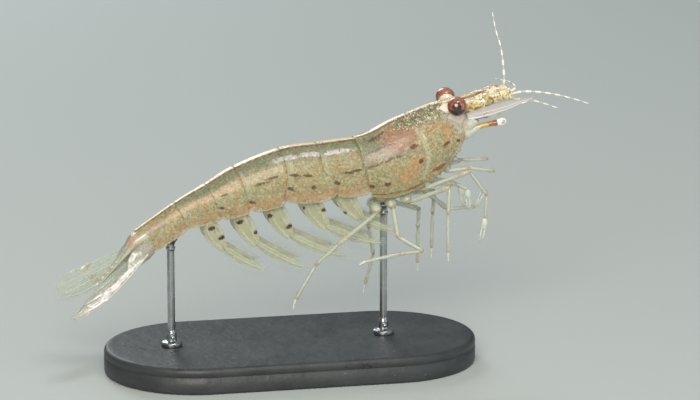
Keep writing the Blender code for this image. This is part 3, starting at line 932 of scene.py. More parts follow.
@dataclass
class Abdomen:
    """The six shell rings of the abdomen, each sliding under the one before it."""

    back: Back = Back()
    rows: int = 50
    columns: int = 177
    wall: float = 0.06
    slide: float = 0.16
    tucked: float = 0.55
    corner: float = 0.13
    dashes: Pairs = (
        (0.1, 0.6), (0.32, 0.61), (1.48, 0.58), (1.85, 0.56), (2.38, 0.51), (2.62, 0.54), (3.68, 0.49)
    )
    ovals: Pairs = ((0.66, 0.75), (1.38, 0.75), (2.05, 0.755), (3.02, 0.8), (3.97, 0.71))
    flush: tuple[float, ...] = (0.94, 0.91, 0.88, 0.9, 0.87, 0.84, 0.88)
    # Routes of a painted highlight: pale glints along the upper flank of the first three rings, where the
    # soft box's reflection falls.
    glints: tuple[tuple[tuple[float, float], tuple[float, float]], ...] = (
        ((0.22, 0.3), (0.86, 0.31)), ((1.04, 0.3), (1.55, 0.29)), ((1.72, 0.3), (2.24, 0.29))
    )

    def masks(self, u: Array, share: Array) -> dict[str, Array]:
        """The markings at places on the rings.

        Args:
            u: Places along it, in somites.
            share: Places round it, from -1 to 1.

        Returns:
            A value for each place, by the mask's name.
        """
        side = np.abs(share) + 0 * u
        u = u + 0 * share
        band = smooth(self.flush, u / 6)
        margins = [u - self.back.margin(j, arch(side)[0]) for j in range(1, 7)]
        joints = sum(bell(margin, -0.06, 0.055) for margin in margins)
        gaps = sum(bell(margin, 0.03, 0.03) for margin in margins)
        low = 0.8 * ease(np.abs(side - band), 0.08, 0.0) * ease(u, 6.1, 5.7)
        dashes = ((*c, 0.15, 0.018, -3) for c in self.dashes)
        ovals = ((*c, 0.085, 0.034, -2) for c in self.ovals)
        return {
            "stripe": ease(side, 0.105, 0.07) * (1 - 0.45 * np.clip(gaps, 0, 1)),
            "border": bell(side, 0.125, 0.018),
            # painted highlight: a pale streak where the soft box's reflection falls on the upper flank
            "pearl": strokes(u, side, *((ends, 0.034) for ends in self.glints)),
            "dusk": 0.95 * ease(side, 0.1, 0.16) * ease(side, 0.44, 0.26) * ease(u, 6.6, 3.5),
            "spot": blots(u, side, *dashes, *ovals),
            "flush": np.maximum(low, 0.6 * bell(side, 0.4, 0.07) * ease(u, 2.5, 3.1)),
            "shade": 0.9 * blot(u, side, (5.68, 0.42), (0.26, 0.075), -12),
            "seam": np.clip(joints, 0, 1) * ease(side, 0.2, 0.34) * ease(side, 0.9, 0.74),
            "speck": 0.42 + 0.2 * ease(side, 0.5, 0.3) * ease(u, 5.0, 1.0)
        }

    def ring(self, index: int) -> Moulding:
        """The sheet of one ring, with its rims, hinge knobs and side plates.

        Args:
            index: Its number, from 0 at the front.

        Returns:
            Its form.
        """
        back, somite = self.back, self.back.somites[index]
        s, share = ramp(self.rows)[:, None], np.linspace(-1, 1, self.columns)[None]
        side = np.abs(share)
        depth, _ = arch(share)
        front = back.margin(index, depth) - (self.slide if index else self.tucked) / somite.length
        rear = back.margin(index + 1, depth) + 0.08 / somite.length
        u = front + (rear - front) * s
        trim = 1 - self.corner * np.abs(2 * s - 1) ** 4
        sheet = back.shell(u, share, trim=trim)
        covering = ease(side, 0.58, 0.72) * (1.0 if index == 1 else 0.0)
        covered = ease(side, 0.58, 0.72) * (1.0 if index == 0 else 0.0)
        under = 0.1 * ease(s, 0.13 if index else 0.2, 0.0) * (1 - covering)
        height = 0.022 * bell(s, 0.965, 0.02) - 0.012 * bell(s, 0.91, 0.02) - under
        height = height + 0.11 * covering * (0.5 + 0.5 * ease(s, 0.3, 0.0))
        height = height - 0.1 * covered * ease(s, 0.6, 0.9)
        height = height + 0.04 * ease(side, 0.965, 0.99) + 0.07 * bell(s, 0.95, 0.03) * bell(side, 0.6, 0.03)
        masks = self.masks(u, share)
        masks["rim"] = np.clip(bell(s, 0.985, 0.018) + ease(side, 0.975, 0.995), 0, 1)
        return Moulding().grid(raised(sheet, height), wrap=False, **masks)

    def build(self, shell: Finish) -> None:
        """Makes the six rings.

        Args:
            shell: The finish of the shell.
        """
        for index in range(6):
            name = f"ring_{index + 1}"
            place(self.ring(index), name, shell, "shell", f"abdomen_{index + 1}", wall=self.wall)


@dataclass
class Carapace:
    """The shield over head and thorax, with its grooves, spines and markings."""

    shield: Shield = Shield()
    rows: int = 151
    columns: int = 181
    wall: float = 0.06
    spines: Route = ((0.2, -0.42, 0.075), (0.345, 0.34, 0.02), (0.93, 0.28, 0.022))
    grooves: tuple[tuple[float, float, Pairs], ...] = (
        (0.07, 0.012, ((0.6, 0.0), (0.615, 0.2), (0.66, 0.36), (0.72, 0.46))),
        (0.05, 0.012, ((0.66, 0.36), (0.645, 0.55), (0.6, 0.78), (0.54, 0.95))),
        (0.04, 0.01, ((0.72, 0.46), (0.82, 0.44), (0.95, 0.4)))
    )

    def masks(self, t: Array, share: Array) -> dict[str, Array]:
        """The markings at places on the shield.

        Args:
            t: Places along it, from 0 to 1.
            share: Places round it, from -1 to 1.

        Returns:
            A value for each place, by the mask's name.
        """
        side = np.abs(share) + 0 * t
        t = t + 0 * share
        grit = ease(t, 0.34, 0.56) * ease(side, 0.02, 0.05) * ease(side, 0.38, 0.26)
        saddle = ease(side, 0.1, 0.16) * ease(side, 0.46, 0.34)
        return {
            "stripe": ease(side, 0.085, 0.05) * ease(t, 1.05, 0.98),
            "border": bell(side, 0.1, 0.016) * ease(t, 0.75, 0.5),
            "dusk": np.clip(0.95 * ease(t, 0.36, 0.16) * saddle + 0.85 * grit, 0, 1),
            "spot": blots(
                t, side, (0.13, 0.0, 0.1, 0.028), (0.53, 0.51, 0.04, 0.024, 4), (0.55, 0.69, 0.024, 0.026),
                (0.81, 0.67, 0.034, 0.02, -6), (0.93, 0.735, 0.034, 0.014, 55), (0.98, 0.78, 0.02, 0.012, 30),
                (0.02, 0.83, 0.04, 0.026), (0.19, 0.8, 0.034, 0.026)
            ),
            "dash": strokes(
                t, side, (((0.66, 0.885), (0.74, 0.91), (0.84, 0.93)), (0.012, 0.03, 0.008)),
                (
                    ((0.03, 0.955), (0.2, 0.93), (0.33, 0.945), (0.45, 0.955), (0.62, 0.97)),
                    (0.01, 0.008, 0.007, 0.016, 0.006)
                )
            ),
            "vein": strokes(
                t, side, (((-0.02, 0.575), (0.1, 0.55), (0.2, 0.525)), (0.014, 0.012, 0.005)),
                (((0.22, 0.53), (0.31, 0.52), (0.4, 0.545)), (0.006, 0.019, 0.008)),
                (((0.0, 0.42), (0.12, 0.385), (0.26, 0.37), (0.38, 0.4)), (0.006, 0.013, 0.013, 0.004)),
                (((0.15, 0.235), (0.24, 0.215), (0.31, 0.19)), (0.024, 0.022, 0.01))
            ),
            "haze": stroke(
                t, side, ((0.0, 0.48), (0.15, 0.45), (0.35, 0.47), (0.56, 0.57)), (0.05, 0.05, 0.04, 0.02)
            ),
            "under": ease(side, 0.945, 0.97) * ease(t, 0.62, 0.5),
            "veil": ease(t, 0.9, 0.97) * ease(side, 0.3, 0.36) * ease(side, 0.72, 0.6),
            "pale": stroke(
                t, side, ((0.63, 0.36), (0.645, 0.5), (0.635, 0.62), (0.6, 0.78), (0.55, 0.92)),
                (0.02, 0.024, 0.026, 0.022, 0.014)
            ),
            "amber": blots(
                t, side, (0.9, 0.47, 0.085, 0.085, 10), (0.7, 0.485, 0.035, 0.028), (0.86, 0.575, 0.05, 0.045)
            ),
            "gold": grit,
            "mauve": np.maximum(
                blots(t, side, (0.44, 0.37, 0.19, 0.12, 10)),
                0.7 * blots(t, side, (0.3, 0.24, 0.16, 0.06, -6))
            ),
            "orange": np.maximum(
                blots(t, side, (0.41, 0.8, 0.1, 0.055, 12)), 0.42 * blots(t, side, (0.5, 0.7, 0.06, 0.08))
            ),
            "speck": 0.5 + 0.4 * grit + 0.15 * ease(t, 0.4, 0.1)
        }

    def build(self, shell: Finish) -> None:
        """Makes the shield.

        Args:
            shell: The finish of the shell.
        """
        s, share = np.linspace(1, 0, self.rows)[:, None], np.linspace(-1, 1, self.columns)[None]
        side = np.abs(share)
        t = s + 0 * share
        front = sum(height * bell(side, at, width) for at, height, width in self.spines)
        front = heading(self.shield.pitch) * (front * ease(s, 0.82, 1.0))[..., None]
        sheet = self.shield.shell(t, share) + front
        grooves = [depth * stroke(t, side, route, width) for depth, width, route in self.grooves]
        rims = bell(s, 0.012, 0.012) + bell(s, 0.99, 0.008) + bell(side, 0.985, 0.01)
        keel = 0.16 * bell(side, 0.0, 0.03) * ease(s, 0.66, 0.95)
        swell = 0.06 * bell(t, 0.8, 0.08) * bell(side, 0.55, 0.1)
        swell = swell + 0.05 * bell(t, 0.3, 0.2) * bell(side, 0.7, 0.2)
        height = 0.02 * np.clip(rims, 0, 1) + keel + swell - sum(grooves)
        masks = self.masks(t, share)
        masks["rim"] = np.clip(rims, 0, 1)
        piece = Moulding().grid(raised(sheet, height), wrap=False, **masks)
        place(piece, "shield", shell, "shell", "carapace", wall=self.wall)


@dataclass
class Flesh:
    """The soft body under the shell, from the head's core to the tail."""

    back: Back = Back()
    shield: Shield = Shield()
    inset: float = 0.26
    lowest: float = 0.93
    core: tuple[tuple[float, float, float, float], ...] = (
        (12.9, 21.2, 2.25, 1.35), (14.2, 21.75, 1.85, 1.28), (15.2, 22.15, 1.45, 1.15),
        (15.9, 22.3, 1.12, 0.98), (16.4, 22.4, 0.7, 0.62)
    )

    def rings(self, form: object, t: Array, inset: Array, bulge: float) -> tuple[Array, Array]:
        """Closed rings inside a shell.

        Args:
            form: The back or the shield.
            t: The places of the rings.
            inset: How far each lies inside the shell.
            bulge: How far the belly swells down.

        Returns:
            The grid, and each point's share.
        """
        share = np.linspace(-self.lowest, self.lowest, 97)[None] + 0 * t[:, None]
        dorsal = form.shell(t[:, None] + 0 * share, share, inset[:, None, None])
        k = ramp(26)[1:-1][None, :, None]
        belly = dorsal[:, -1:] + (dorsal[:, :1] - dorsal[:, -1:]) * k
        belly[..., 2] -= (bulge * np.sin(math.pi * k) + 0.12 * bell(k, 0.5, 0.1))[..., 0]
        low = np.full(belly.shape[:2], self.lowest) * np.sign(0.5 - k[..., 0])
        return np.concatenate([dorsal, belly], 1), np.concatenate([share, low], 1)

    def build(self, finish: Finish) -> None:
        """Makes the flesh as one piece.

        Args:
            finish: Its finish.
        """
        body = Moulding()
        u = np.linspace(-0.2, 5.98, 260)
        grid, share = self.rings(self.back, u, self.inset + 0.07 * bell(u - np.round(u), 0, 0.07), 0.12)
        side, u = np.abs(share), u[:, None] + 0 * share
        body.grid(
            grid, gut=bell(side, 0.16, 0.035) * ease(u, 5.7, 5.2),
            joint=bell(u - np.round(u) + 0.16 * ease(side, 0.3, 1), 0, 0.045),
            flush=ease(side, 0.72, 0.9) * ease(u, 5.8, 5.0), belly=ease(side, 0.915, 0.93),
            patch=blot(u, side, (5.58, 0.43), (0.18, 0.1), -12), tail=ease(u, 4.2, 5.6), along=u * 3.6,
            across=share * 6.0
        )
        t = np.linspace(0.02, 0.97, 170)
        grid, share = self.rings(self.shield, t, np.full_like(t, self.inset), 0.1)
        side, t = np.abs(share), t[:, None] + 0 * share
        belly_glow = blot(t, side, (0.44, 0.765), (0.11, 0.075), 12)
        body.grid(
            grid, mauve=blot(t, side, (0.43, 0.4), (0.2, 0.12), 6),
            orange=np.maximum(belly_glow, 0.6 * blot(t, side, (0.5, 0.6), (0.09, 0.12))),
            flush=0.75 * blot(t, side, (0.16, 0.9), (0.2, 0.08)),
            amber=blot(t, side, (0.92, 0.46), (0.13, 0.13)),
            cheek=ease(t, 0.64, 0.74) * ease(side, 0.52, 0.62), gut=blot(t, side, (0.7, 0.14), (0.22, 0.13)),
            belly=ease(side, 0.915, 0.93), along=t * 8.7, across=share * 7.0
        )
        x, z, tall, wide = (smooth([row[i] for row in self.core], ramp(40)) for i in range(4))
        path = np.stack([x, 0 * x, z], -1)
        body.grid(tube(path, wide, tall, 56), cheek=0.4, core=1.0)
        place(body, "flesh", finish, "shell")


# ---------------- setae


@dataclass
class Setae:
    """Fine bristles of one region, gathered into one piece."""

    name: str
    slot: str
    seed: int
    strips: int = 0
    mesh: Moulding = field(default_factory=Moulding)

    def __post_init__(self) -> None:
        """Seeds the bristles' small differences."""
        self.chance = np.random.default_rng(self.seed)

    def comb(self, roots: Array, ways: Array, lengths: object, radius: float, sag: float = 0.06) -> None:
        """Adds a row of bristles.

        Args:
            roots: Where they grow.
            ways: Which way each points.
            lengths: Their length, for each or for all.
            radius: The radius at the root.
            sag: How far each bends, as a share of its length.
        """
        count = len(roots)
        lengths = np.broadcast_to(lengths, count) * self.chance.uniform(0.85, 1.12, count)
        ways = unit(unit(ways) + self.chance.normal(0, 0.06, (count, 3)))
        bend = np.stack([0 * lengths, 0 * lengths, -sag * lengths], -1)
        number = ((np.arange(count) + 0.5) / count)[:, None, None]
        tips = roots + ways * lengths[:, None]
        self.mesh.hairs(roots, tips, radius, bend, number=number, strip=self.strips)
        self.strips += 1

    def build(self, finish: Finish) -> None:
        """Makes the piece, each bristle with its own patch of the map at its root's place.

        Args:
            finish: Its finish.
        """
        mesh = place(self.mesh, self.name, finish, self.slot).data
        number, strip = (np.empty(len(mesh.vertices), np.float32) for _ in range(2))
        mesh.attributes["number"].data.foreach_get("value", number)
        mesh.attributes["strip"].data.foreach_get("value", strip)
        corner = np.empty(len(mesh.loops), np.int32)
        mesh.loops.foreach_get("vertex_index", corner)
        turn = corner % 9 * 0.7
        patch = 0.0015 * np.stack([np.cos(turn), np.sin(turn)], -1)
        root = np.stack([0.01 + 0.98 * number[corner], 0.01 + 0.98 * strip[corner] / self.strips], -1)
        flat = (root + patch).astype(np.float32).reshape(-1)
        mesh.uv_layers.new(name="OFBake").data.foreach_set("uv", flat)


# ---------------- head


@dataclass
class Rostrum:
    """The toothed beak between the eyes."""

    shield: Shield = Shield()
    pitch: float = 11.0
    length: float = 4.3
    depth: float = 0.78
    half_thickness: float = 0.17
    upper_teeth: int = 19
    lower_teeth: int = 6
    tooth: float = 0.17
    section: Pairs = (
        (0.0, 1.0), (0.16, 0.82), (0.3, 0.45), (0.9, 0.16), (0.95, 0.0), (0.42, -0.22), (0.2, -0.7),
        (0.0, -1.0)
    )

    def build(self, finish: Finish) -> None:
        """Makes the beak, a thin keel with a rib along each side.

        Args:
            finish: Its finish.
        """
        ahead = heading(self.pitch)
        above = vec(-ahead[2], 0, ahead[0])
        root = self.shield.place(1.0, 0.0) - ahead * 0.5 + above * 0.06
        s = ramp(381)
        reach = self.length + 0.5
        saw = (s * self.upper_teeth) % 1
        crest = self.tooth * np.where(saw < 0.78, saw / 0.78, (1 - saw) / 0.22) ** 1.2 * (1 - 0.45 * s)
        crest *= ease(s, 0.97, 0.9)
        low_saw = ((s - 0.42) / 0.5 * self.lower_teeth) % 1
        barb = 0.11 * np.where(low_saw < 0.75, low_saw / 0.75, (1 - low_saw) / 0.25)
        barb *= ease(s, 0.42, 0.46) * ease(s, 0.93, 0.9)
        belly = self.depth * smooth((0.5, 0.95, 0.8, 0.48, 0.22, 0.05), s) + barb
        top = 0.1 * ease(s, 0, 0.2) + crest - 0.1 * s
        thin = self.half_thickness * smooth((1.25, 1.0, 0.85, 0.65, 0.4, 0.12), s)
        section = self.section + tuple((-y, z) for y, z in self.section[-2:0:-1])
        rows = []
        for y, z in section:
            height = np.where(z > 0.15, z * top, np.where(z < -0.1, z * belly, 0.0))
            height -= 0.12 * belly * (abs(z) < 0.17)
            point = root + ahead * (reach * s)[:, None] + above * height[:, None]
            rows.append(point + vec(0, 1, 0) * (y * thin)[:, None])
        edge = np.array([abs(z) for _, z in section])[None]
        masks = {"rib": bell(edge, 0.0, 0.3), "tip": ease(s, 0.62, 0.95), "edge": ease(edge, 0.6, 1.0)}
        beak = Moulding().grid(np.stack(rows, 1), **masks)
        place(beak, "beak", finish, "shell", "rostrum")


@dataclass
class Eye:
    """A stalked compound eye."""

    side: Side
    centre: Point = (14.82, 2.2, 23.62)
    radius: float = 0.88
    stalk_root: Point = (14.75, 0.3, 22.75)
    stalk_radius: float = 0.4

    def build(self, cornea: Finish, limb: Finish) -> None:
        """Makes the cornea and its stalk.

        Args:
            cornea: The finish of its bulb.
            limb: The finish of its stalk.
        """
        centre, root = sided(self.centre, self.side), sided(self.stalk_root, self.side)
        axis = unit(centre - root)
        bend = ramp(49)
        angle = bend * 2.25
        flat = self.radius * (1 - 0.05 * np.cos(angle) ** 2)
        path = centre + axis * (flat * np.cos(angle))[:, None]
        ball = tube(path[::-1], (self.radius * np.sin(angle))[::-1] + 0.004, None, 72, up=(0, 0, 1))
        from_centre = unit(ball - centre)
        height, outward = from_centre[..., 2], from_centre[..., 1] * self.side.value
        pupil = unit(sided((-0.24, 0.95, 0.06), self.side))
        away = np.linalg.norm(from_centre - pupil, axis=-1)
        tall_away = np.hypot(from_centre[..., 0] - pupil[0], 0.62 * (height - pupil[2]))
        masks = {
            "low": ease(height, -0.05, -0.42),
            "pupil": ease(tall_away, 0.56, 0.24) * (outward > 0),
            "ring": bell(away, 0.85, 0.16),
            "brow": ease(height, 0.3, 0.85),
            "ray": np.arctan2(from_centre[..., 2], from_centre[..., 0]) * 3
        }
        named = self.side.named
        place(Moulding().grid(ball, **masks), named("cornea"), cornea, "cornea", named("eye"))
        end = centre - axis * self.radius * 0.62
        swell = smooth((0.95, 0.86, 0.98, 1.35, 1.86), ramp(30))
        grid = tube(run(root, end, 30), self.stalk_radius * swell, None, 40)
        stalk = Moulding().grid(grid, joint=0.2, cup=ease(ramp(30), 0.6, 0.95))
        place(stalk, self.side.named("stalk"), limb, "limb", self.side.named("eyestalk"))


@dataclass
class Antennule:
    """The three scalloped segments that carry one side's two short feelers."""

    side: Side
    route: Route = (
        (15.45, 0.66, 23.15), (16.4, 0.82, 23.4), (17.4, 0.82, 23.7), (18.1, 0.84, 23.95),
        (18.9, 0.86, 24.18), (20.15, 0.85, 24.33)
    )
    joints: tuple[float, ...] = (0.0, 0.46, 0.76, 1.0)
    radii: tuple[float, ...] = (0.6, 0.53, 0.47)
    bristles: int = 26

    def build(self, finish: Finish, setae: Setae) -> None:
        """Makes the segments, each cupped over the base of the next.

        Args:
            finish: Its finish.
            setae: Where its bristles go.
        """
        stem = Moulding()
        line = np.array([sided(p, self.side) for p in self.route])
        s, turn = ramp(52), circle(44)[None]
        ahead = unit(line[-1] - line[0])
        for number, (low, high, radius) in enumerate(zip(self.joints, self.joints[1:], self.radii)):
            lap = 0.04 * (number > 0)
            path = smooth(line, low - lap + (high - low + lap) * s)
            girth = radius * smooth((0.72, 1.0, 1.08, 1.0, 0.96, 1.1), s) * (1 - 0.25 * ease(s, 0.965, 1.0))
            grid = tube(path, girth * 0.94, girth * 1.06, 44)
            scallop = 0.09 * np.cos(turn * 4 + number) * ease(s, 0.72, 1.0)[:, None]
            bumps = 1 + 0.12 * np.cos(turn * 4 + number) * bell(s, 0.8, 0.16)[:, None]
            bumps = bumps + 0.05 * np.cos(turn * 3 - 2 * number) * bell(s, 0.35, 0.2)[:, None]
            grid = path[:, None] + (grid - path[:, None]) * bumps[..., None] + ahead * scallop[..., None]
            # Painted light and shade: each segment's upper side is painted paler (top) and its under side
            # darker (low), by height above its axis.
            lit = ease(grid[..., 2] - path[:, None, 2], 0.0, radius)
            stem.grid(grid, top=lit, low=1 - lit, lobe=0.85 * bell(s, 0.95, 0.06), groove=ease(s, 0.14, 0.03))
            ring = grid[-3, (circle(self.bristles) / (2 * math.pi) * 44).astype(int)]
            setae.comb(ring, unit(ring - path[-3]) * 0.5 + ahead, 0.42, 0.012)
        root = smooth(line, 0.1) + sided((0, 0.42, 0.05), self.side)
        thorn = run(root, root + sided((1.35, 0.28, 0.12), self.side), 16)
        stem.grid(tube(thorn, 0.13 * np.linspace(1, 0.05, 16) ** 0.7, None, 12), top=0.5)
        place(stem, self.side.named("antennule"), finish, "limb", self.side.named("antennule_stem"))


@dataclass
class Feeler:
    """A ringed, tapering thread."""

    node: str
    route: Route
    radius: float = 0.15
    tip: float = 0.045
    ring: float = 0.3
    banded: bool = True

    def build(self, finish: Finish, setae: Setae) -> None:
        """Makes the thread, with a slight waist at each ring and a few short bristles.

        Args:
            finish: Its finish.
            setae: Where its bristles go.
        """
        line = np.array(self.route)
        rough = smooth(line, ramp(400))
        steps = np.concatenate([[0], np.cumsum(np.linalg.norm(np.diff(rough, axis=0), axis=1))])
        length = steps[-1]
        count = int(length / 0.055)
        place_on = np.linspace(0, length, count)
        path = np.stack([np.interp(place_on, steps, rough[:, i]) for i in range(3)], -1)
        girth = self.radius + (self.tip - self.radius) * (place_on / length) ** 0.8
        waist = 1 - 0.16 * bell((place_on / self.ring) % 1, 0.5, 0.16)
        band = ease(np.abs((place_on / self.ring / 3) % 1 - 0.5), 0.16, 0.3) if self.banded else 1.0
        grid = tube(path, girth * waist, None, 10)
        thread = Moulding().grid(grid, band=band, root=ease(place_on, 1.6, 0.2))
        place(thread, f"thread_{self.node}", finish, "limb", self.node)
        ahead, first, second = turned(path)
        pick = np.arange(6, count - 4, 11)
        angle = pick * 2.4
        out = first[pick] * np.cos(angle)[:, None] + second[pick] * np.sin(angle)[:, None]
        setae.comb(path[pick] + out * girth[pick, None] * 0.8, out + ahead[pick] * 1.2, 0.16, 0.008)


@dataclass
class Antenna:
    """The base of one long feeler: a broad first segment and an amber rod with a white tip."""

    side: Side
    route: Route = (
        (15.55, 0.95, 20.95), (16.5, 1.45, 21.3), (17.3, 1.7, 21.65), (18.5, 1.8, 21.88), (19.42, 1.8, 22.02)
    )

    def build(self, finish: Finish) -> None:
        """Makes the base.

        Args:
            finish: Its finish.
        """
        s = ramp(120)
        line = np.array([sided(p, self.side) for p in self.route])
        path = smooth(line, s)
        girth = smooth((0.48, 0.58, 0.54, 0.42, 0.3, 0.25, 0.24, 0.25, 0.26, 0.34, 0.38, 0.24), s)
        girth = girth + 0.04 * bell(s, 0.36, 0.012) - 0.04 * bell(s, 0.78, 0.012)
        tall = girth * (1 + 0.35 * ease(s, 0.35, 0.0))
        rod, end = (ease(s, low, high) * ease(s, 0.8, 0.77) for low, high in ((0.34, 0.5), (0.48, 0.78)))
        base = Moulding().grid(tube(path, girth, tall, 36), rod=rod, deep=end, bulb=ease(s, 0.76, 0.8))
        scale_foot = run(sided((15.9, 1.35, 21.5), self.side), sided((16.6, 1.75, 22.35), self.side), 20)
        base.grid(tube(scale_foot, 0.5 * smooth((1.0, 1.15, 0.95), ramp(20)), None, 24))
        place(base, self.side.named("antenna_base"), finish, "limb", self.side.named("antenna_stem"))


@dataclass
class Jaws:
    """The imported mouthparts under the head, and the floor of the thorax that carries the legs."""

    shield: Shield = Shield()
    gap: float = 0.09
    ridges: int = 6

    def mouth(self, finish: Finish, setae: Setae) -> None:
        """Makes the overlapping plates and palps of the jaws.

        Args:
            finish: Its finish.
            setae: Where its bristles go.
        """
        mouth = Moulding()
        for side in Side:
            for number in range(5):
                t = 0.74 + 0.052 * number
                root = self.shield.place(t, 1.0) + vec(0.0, side.value * (0.16 + 0.06 * number), 0.45)
                way = heading(-62 + 9 * number, 12, side.value) * (0.95 - 0.06 * number)
                bow = vec(0.18, 0, 0) * np.sin(np.linspace(0, math.pi, 22))[:, None]
                path = run(root, root + way, 22) + bow
                wide = 0.36 * smooth((0.6, 1.0, 0.9, 0.55, 0.15), ramp(22))
                mouth.grid(tube(path, wide * 0.42, wide, 20), joint=0.35 * (number % 2))
                setae.comb(path[-8:], np.tile(way, (8, 1)) + vec(0.4, 0, -0.1), 0.36, 0.012)
        place(mouth, "jaws", finish, "limb", "mouthparts")

    def floor(self, finish: Finish) -> None:
        """Makes the thorax's floor, with a ridge for each pair of legs.

        Args:
            finish: Its finish.
        """
        s = ramp(110)
        t = 0.06 + 0.66 * s
        top = self.shield.place(t, np.full_like(t, 0.9)) - vec(0, 0, self.gap)
        edge = self.shield.place(t, np.ones_like(t))
        under = edge + unit(edge - top) * (0.8 - 0.9 * t)[:, None]
        wave = np.abs(np.sin(math.pi * self.ridges * s)) ** 0.5
        turn = circle(48)
        middle, up = (top + under) / 2, (top - under) / 2 * (0.9 + 0.1 * wave)[:, None]
        across = vec(0, 0.95, 0) * (0.93 + 0.07 * wave)[:, None]
        c, k = (np.sign(f(turn)) * np.abs(f(turn)) ** 0.75 for f in (np.cos, np.sin))
        grid = middle[:, None] + up[:, None] * c[None, :, None] + across[:, None] * k[None, :, None]
        chest = Moulding().grid(grid, joint=0.5 * (1 - wave), along=s * 6)
        place(chest, "chest_floor", finish, "shell", "sternum")


# ---------------- limbs


class Tip(Enum):
    """What a limb ends in."""

    CLAW = "a curved claw"
    PINCER = "two fingers with brushes"
    PALP = "a bristly blunt tip"


@dataclass
class Limb:
    """A jointed limb. Each segment is (length, pitch, splay, radius). The core is shared by all limbs."""

    node: str
    side: Side
    root: Point
    segments: tuple[tuple[float, float, float, float], ...]
    tip: Tip
    core: Moulding
    film: Moulding = field(default_factory=Moulding)
    slimness: float = 0.7
    core_share: float = 0.58

    def joints(self) -> list[Array]:
        """The points where the segments meet.

        Returns:
            The points, from the root.
        """
        points = [sided(self.root, self.side)]
        for length, pitch, splay, _ in self.segments:
            points.append(points[-1] + heading(pitch, splay, self.side.value) * length)
        return points

    def segment(self, start: Array, end: Array, radius: float, number: int) -> None:
        """Adds one straight segment: a clear tube flared at its far end, with muscle inside.

        Args:
            start: Where it starts.
            end: Where it ends.
            radius: Its radius.
            number: Its place in the limb.
        """
        s = ramp(34)
        way = unit(end - start)
        path = run(start - way * radius * 0.25, end + way * radius * 0.3, 34)
        girth = radius * smooth((0.55, 0.86, 1.04, 1.0, 0.94, 0.9, 0.96, 1.08, 0.62), s)
        joint = np.maximum(ease(s, 0.16, 0.02), ease(s, 0.84, 0.97))
        band = bell(s, 0.8, 0.06) * (number % 2 == 0)
        self.film.grid(tube(path, girth * 1.06, girth * 0.94, 18), joint=joint, band=band, far=0.15 * number)
        muscle = radius * self.core_share * smooth((0.25, 0.85, 1.1, 1.0, 0.75, 0.35), s)
        self.core.grid(tube(path, muscle, None, 12), joint=joint)

    def claw(self, start: Array, way: Array, radius: float, length: float) -> None:
        """Adds the curved claw with its row of small spines.

        Args:
            start: Where it starts.
            way: The way that it points.
            radius: Its radius at the start.
            length: Its length.
        """
        s = ramp(26)
        curl = vec(0.16, 0.0, -0.05) * length
        path = start + way * (length * s)[:, None] + curl * (s**2)[:, None]
        grid = tube(path, radius * smooth((0.9, 0.8, 0.6, 0.36, 0.08), s), None, 14)
        self.film.grid(grid, horn=ease(s, 0.35, 0.9), far=1.0)
        for k in (0.25, 0.42, 0.6):
            foot = start + way * length * k
            tip = foot + way * 0.16 + vec(0.13, 0, -0.05)
            self.film.spine(foot, tip, radius * 0.24, 6, horn=1.0, far=1.0)

    def pincer(self, start: Array, way: Array, radius: float, length: float, setae: Setae) -> None:
        """Adds the palm and its two spoon-tipped fingers, each with a brush.

        Args:
            start: Where it starts.
            way: The way that it points.
            radius: The palm's radius.
            length: The length of palm and fingers.
            setae: Where its brushes go.
        """
        s = ramp(24)
        palm_end = start + way * length * 0.5
        palm = radius * smooth((0.6, 1.0, 1.16, 1.14, 0.9), s)
        path = run(start, palm_end, 24)
        self.film.grid(tube(path, palm * 0.8, palm * 1.1, 20), joint=ease(s, 0.15, 0), far=0.7)
        self.core.grid(tube(path, palm * 0.5, palm * 0.7, 14))
        out = unit(np.cross(way, vec(0, 1, 0)))
        for sign in (-1, 1):
            bow = out * sign * radius * 0.5
            path = palm_end + bow + way * (length * 0.5 * s)[:, None]
            path = path + bow * 0.35 * np.sin(math.pi * s)[:, None]
            finger = tube(path, radius * 0.42 * smooth((1.1, 0.95, 0.8, 0.7, 0.3), s), None, 14)
            self.film.grid(finger, far=1.0, horn=0.4 * ease(s, 0.6, 1.0))
            tips = np.repeat(path[-6:], 4, axis=0)
            setae.comb(tips, way + setae.chance.normal(0, 0.28, tips.shape), 0.42, 0.013)

    def build(self, finish: Finish, setae: Setae) -> None:
        """Makes the limb.

        Args:
            finish: The clear finish of its shell.
            setae: Where its bristles go.
        """
        points = self.joints()
        radii = [r * self.slimness for _, _, _, r in self.segments]
        inner = points[0] * vec(1, 0.45, 1) + vec(-0.15, 0, 0.5)
        stub = run(inner, points[0] + unit(points[1] - points[0]) * 0.12, 24)
        swell = radii[0] * smooth((1.8, 2.2, 2.25, 1.75, 1.15), ramp(24))
        joint = 0.8 * ease(ramp(24), 0.86, 1.0)
        self.film.grid(tube(stub, swell * 0.9, swell, 24), joint=joint)
        self.core.grid(tube(stub, swell * 0.62, swell * 0.74, 20), joint=joint)
        last = len(self.segments) - 1
        for number, (start, end, radius) in enumerate(zip(points, points[1:], radii)):
            way, length = unit(end - start), float(np.linalg.norm(end - start))
            if number < last or self.tip is Tip.PALP:
                self.segment(start, end, radius, number)
                count = int(length / 0.3)
                roots = run(start, end, count + 2)[1:-1] + vec(0, 0, -radius * 0.9)
                setae.comb(roots, np.tile(way, (count, 1)) * 0.9 + vec(0, 0, -0.6), 0.24, 0.009)
            elif self.tip is Tip.CLAW:
                self.claw(start, way, radius, length)
            else:
                self.pincer(start, way, radius, length, setae)
        if self.tip is Tip.PALP:
            tips = np.repeat(run(points[-2] * 0.3 + points[-1] * 0.7, points[-1], 10), 5, axis=0)
            ways = unit(points[-1] - points[-2]) + setae.chance.normal(0, 0.35, tips.shape)
            setae.comb(tips, ways, 0.4, 0.011)
        place(self.film, f"clear_{self.node}", finish, "limb", self.node)


# ---------------- blades of the belly and the tail


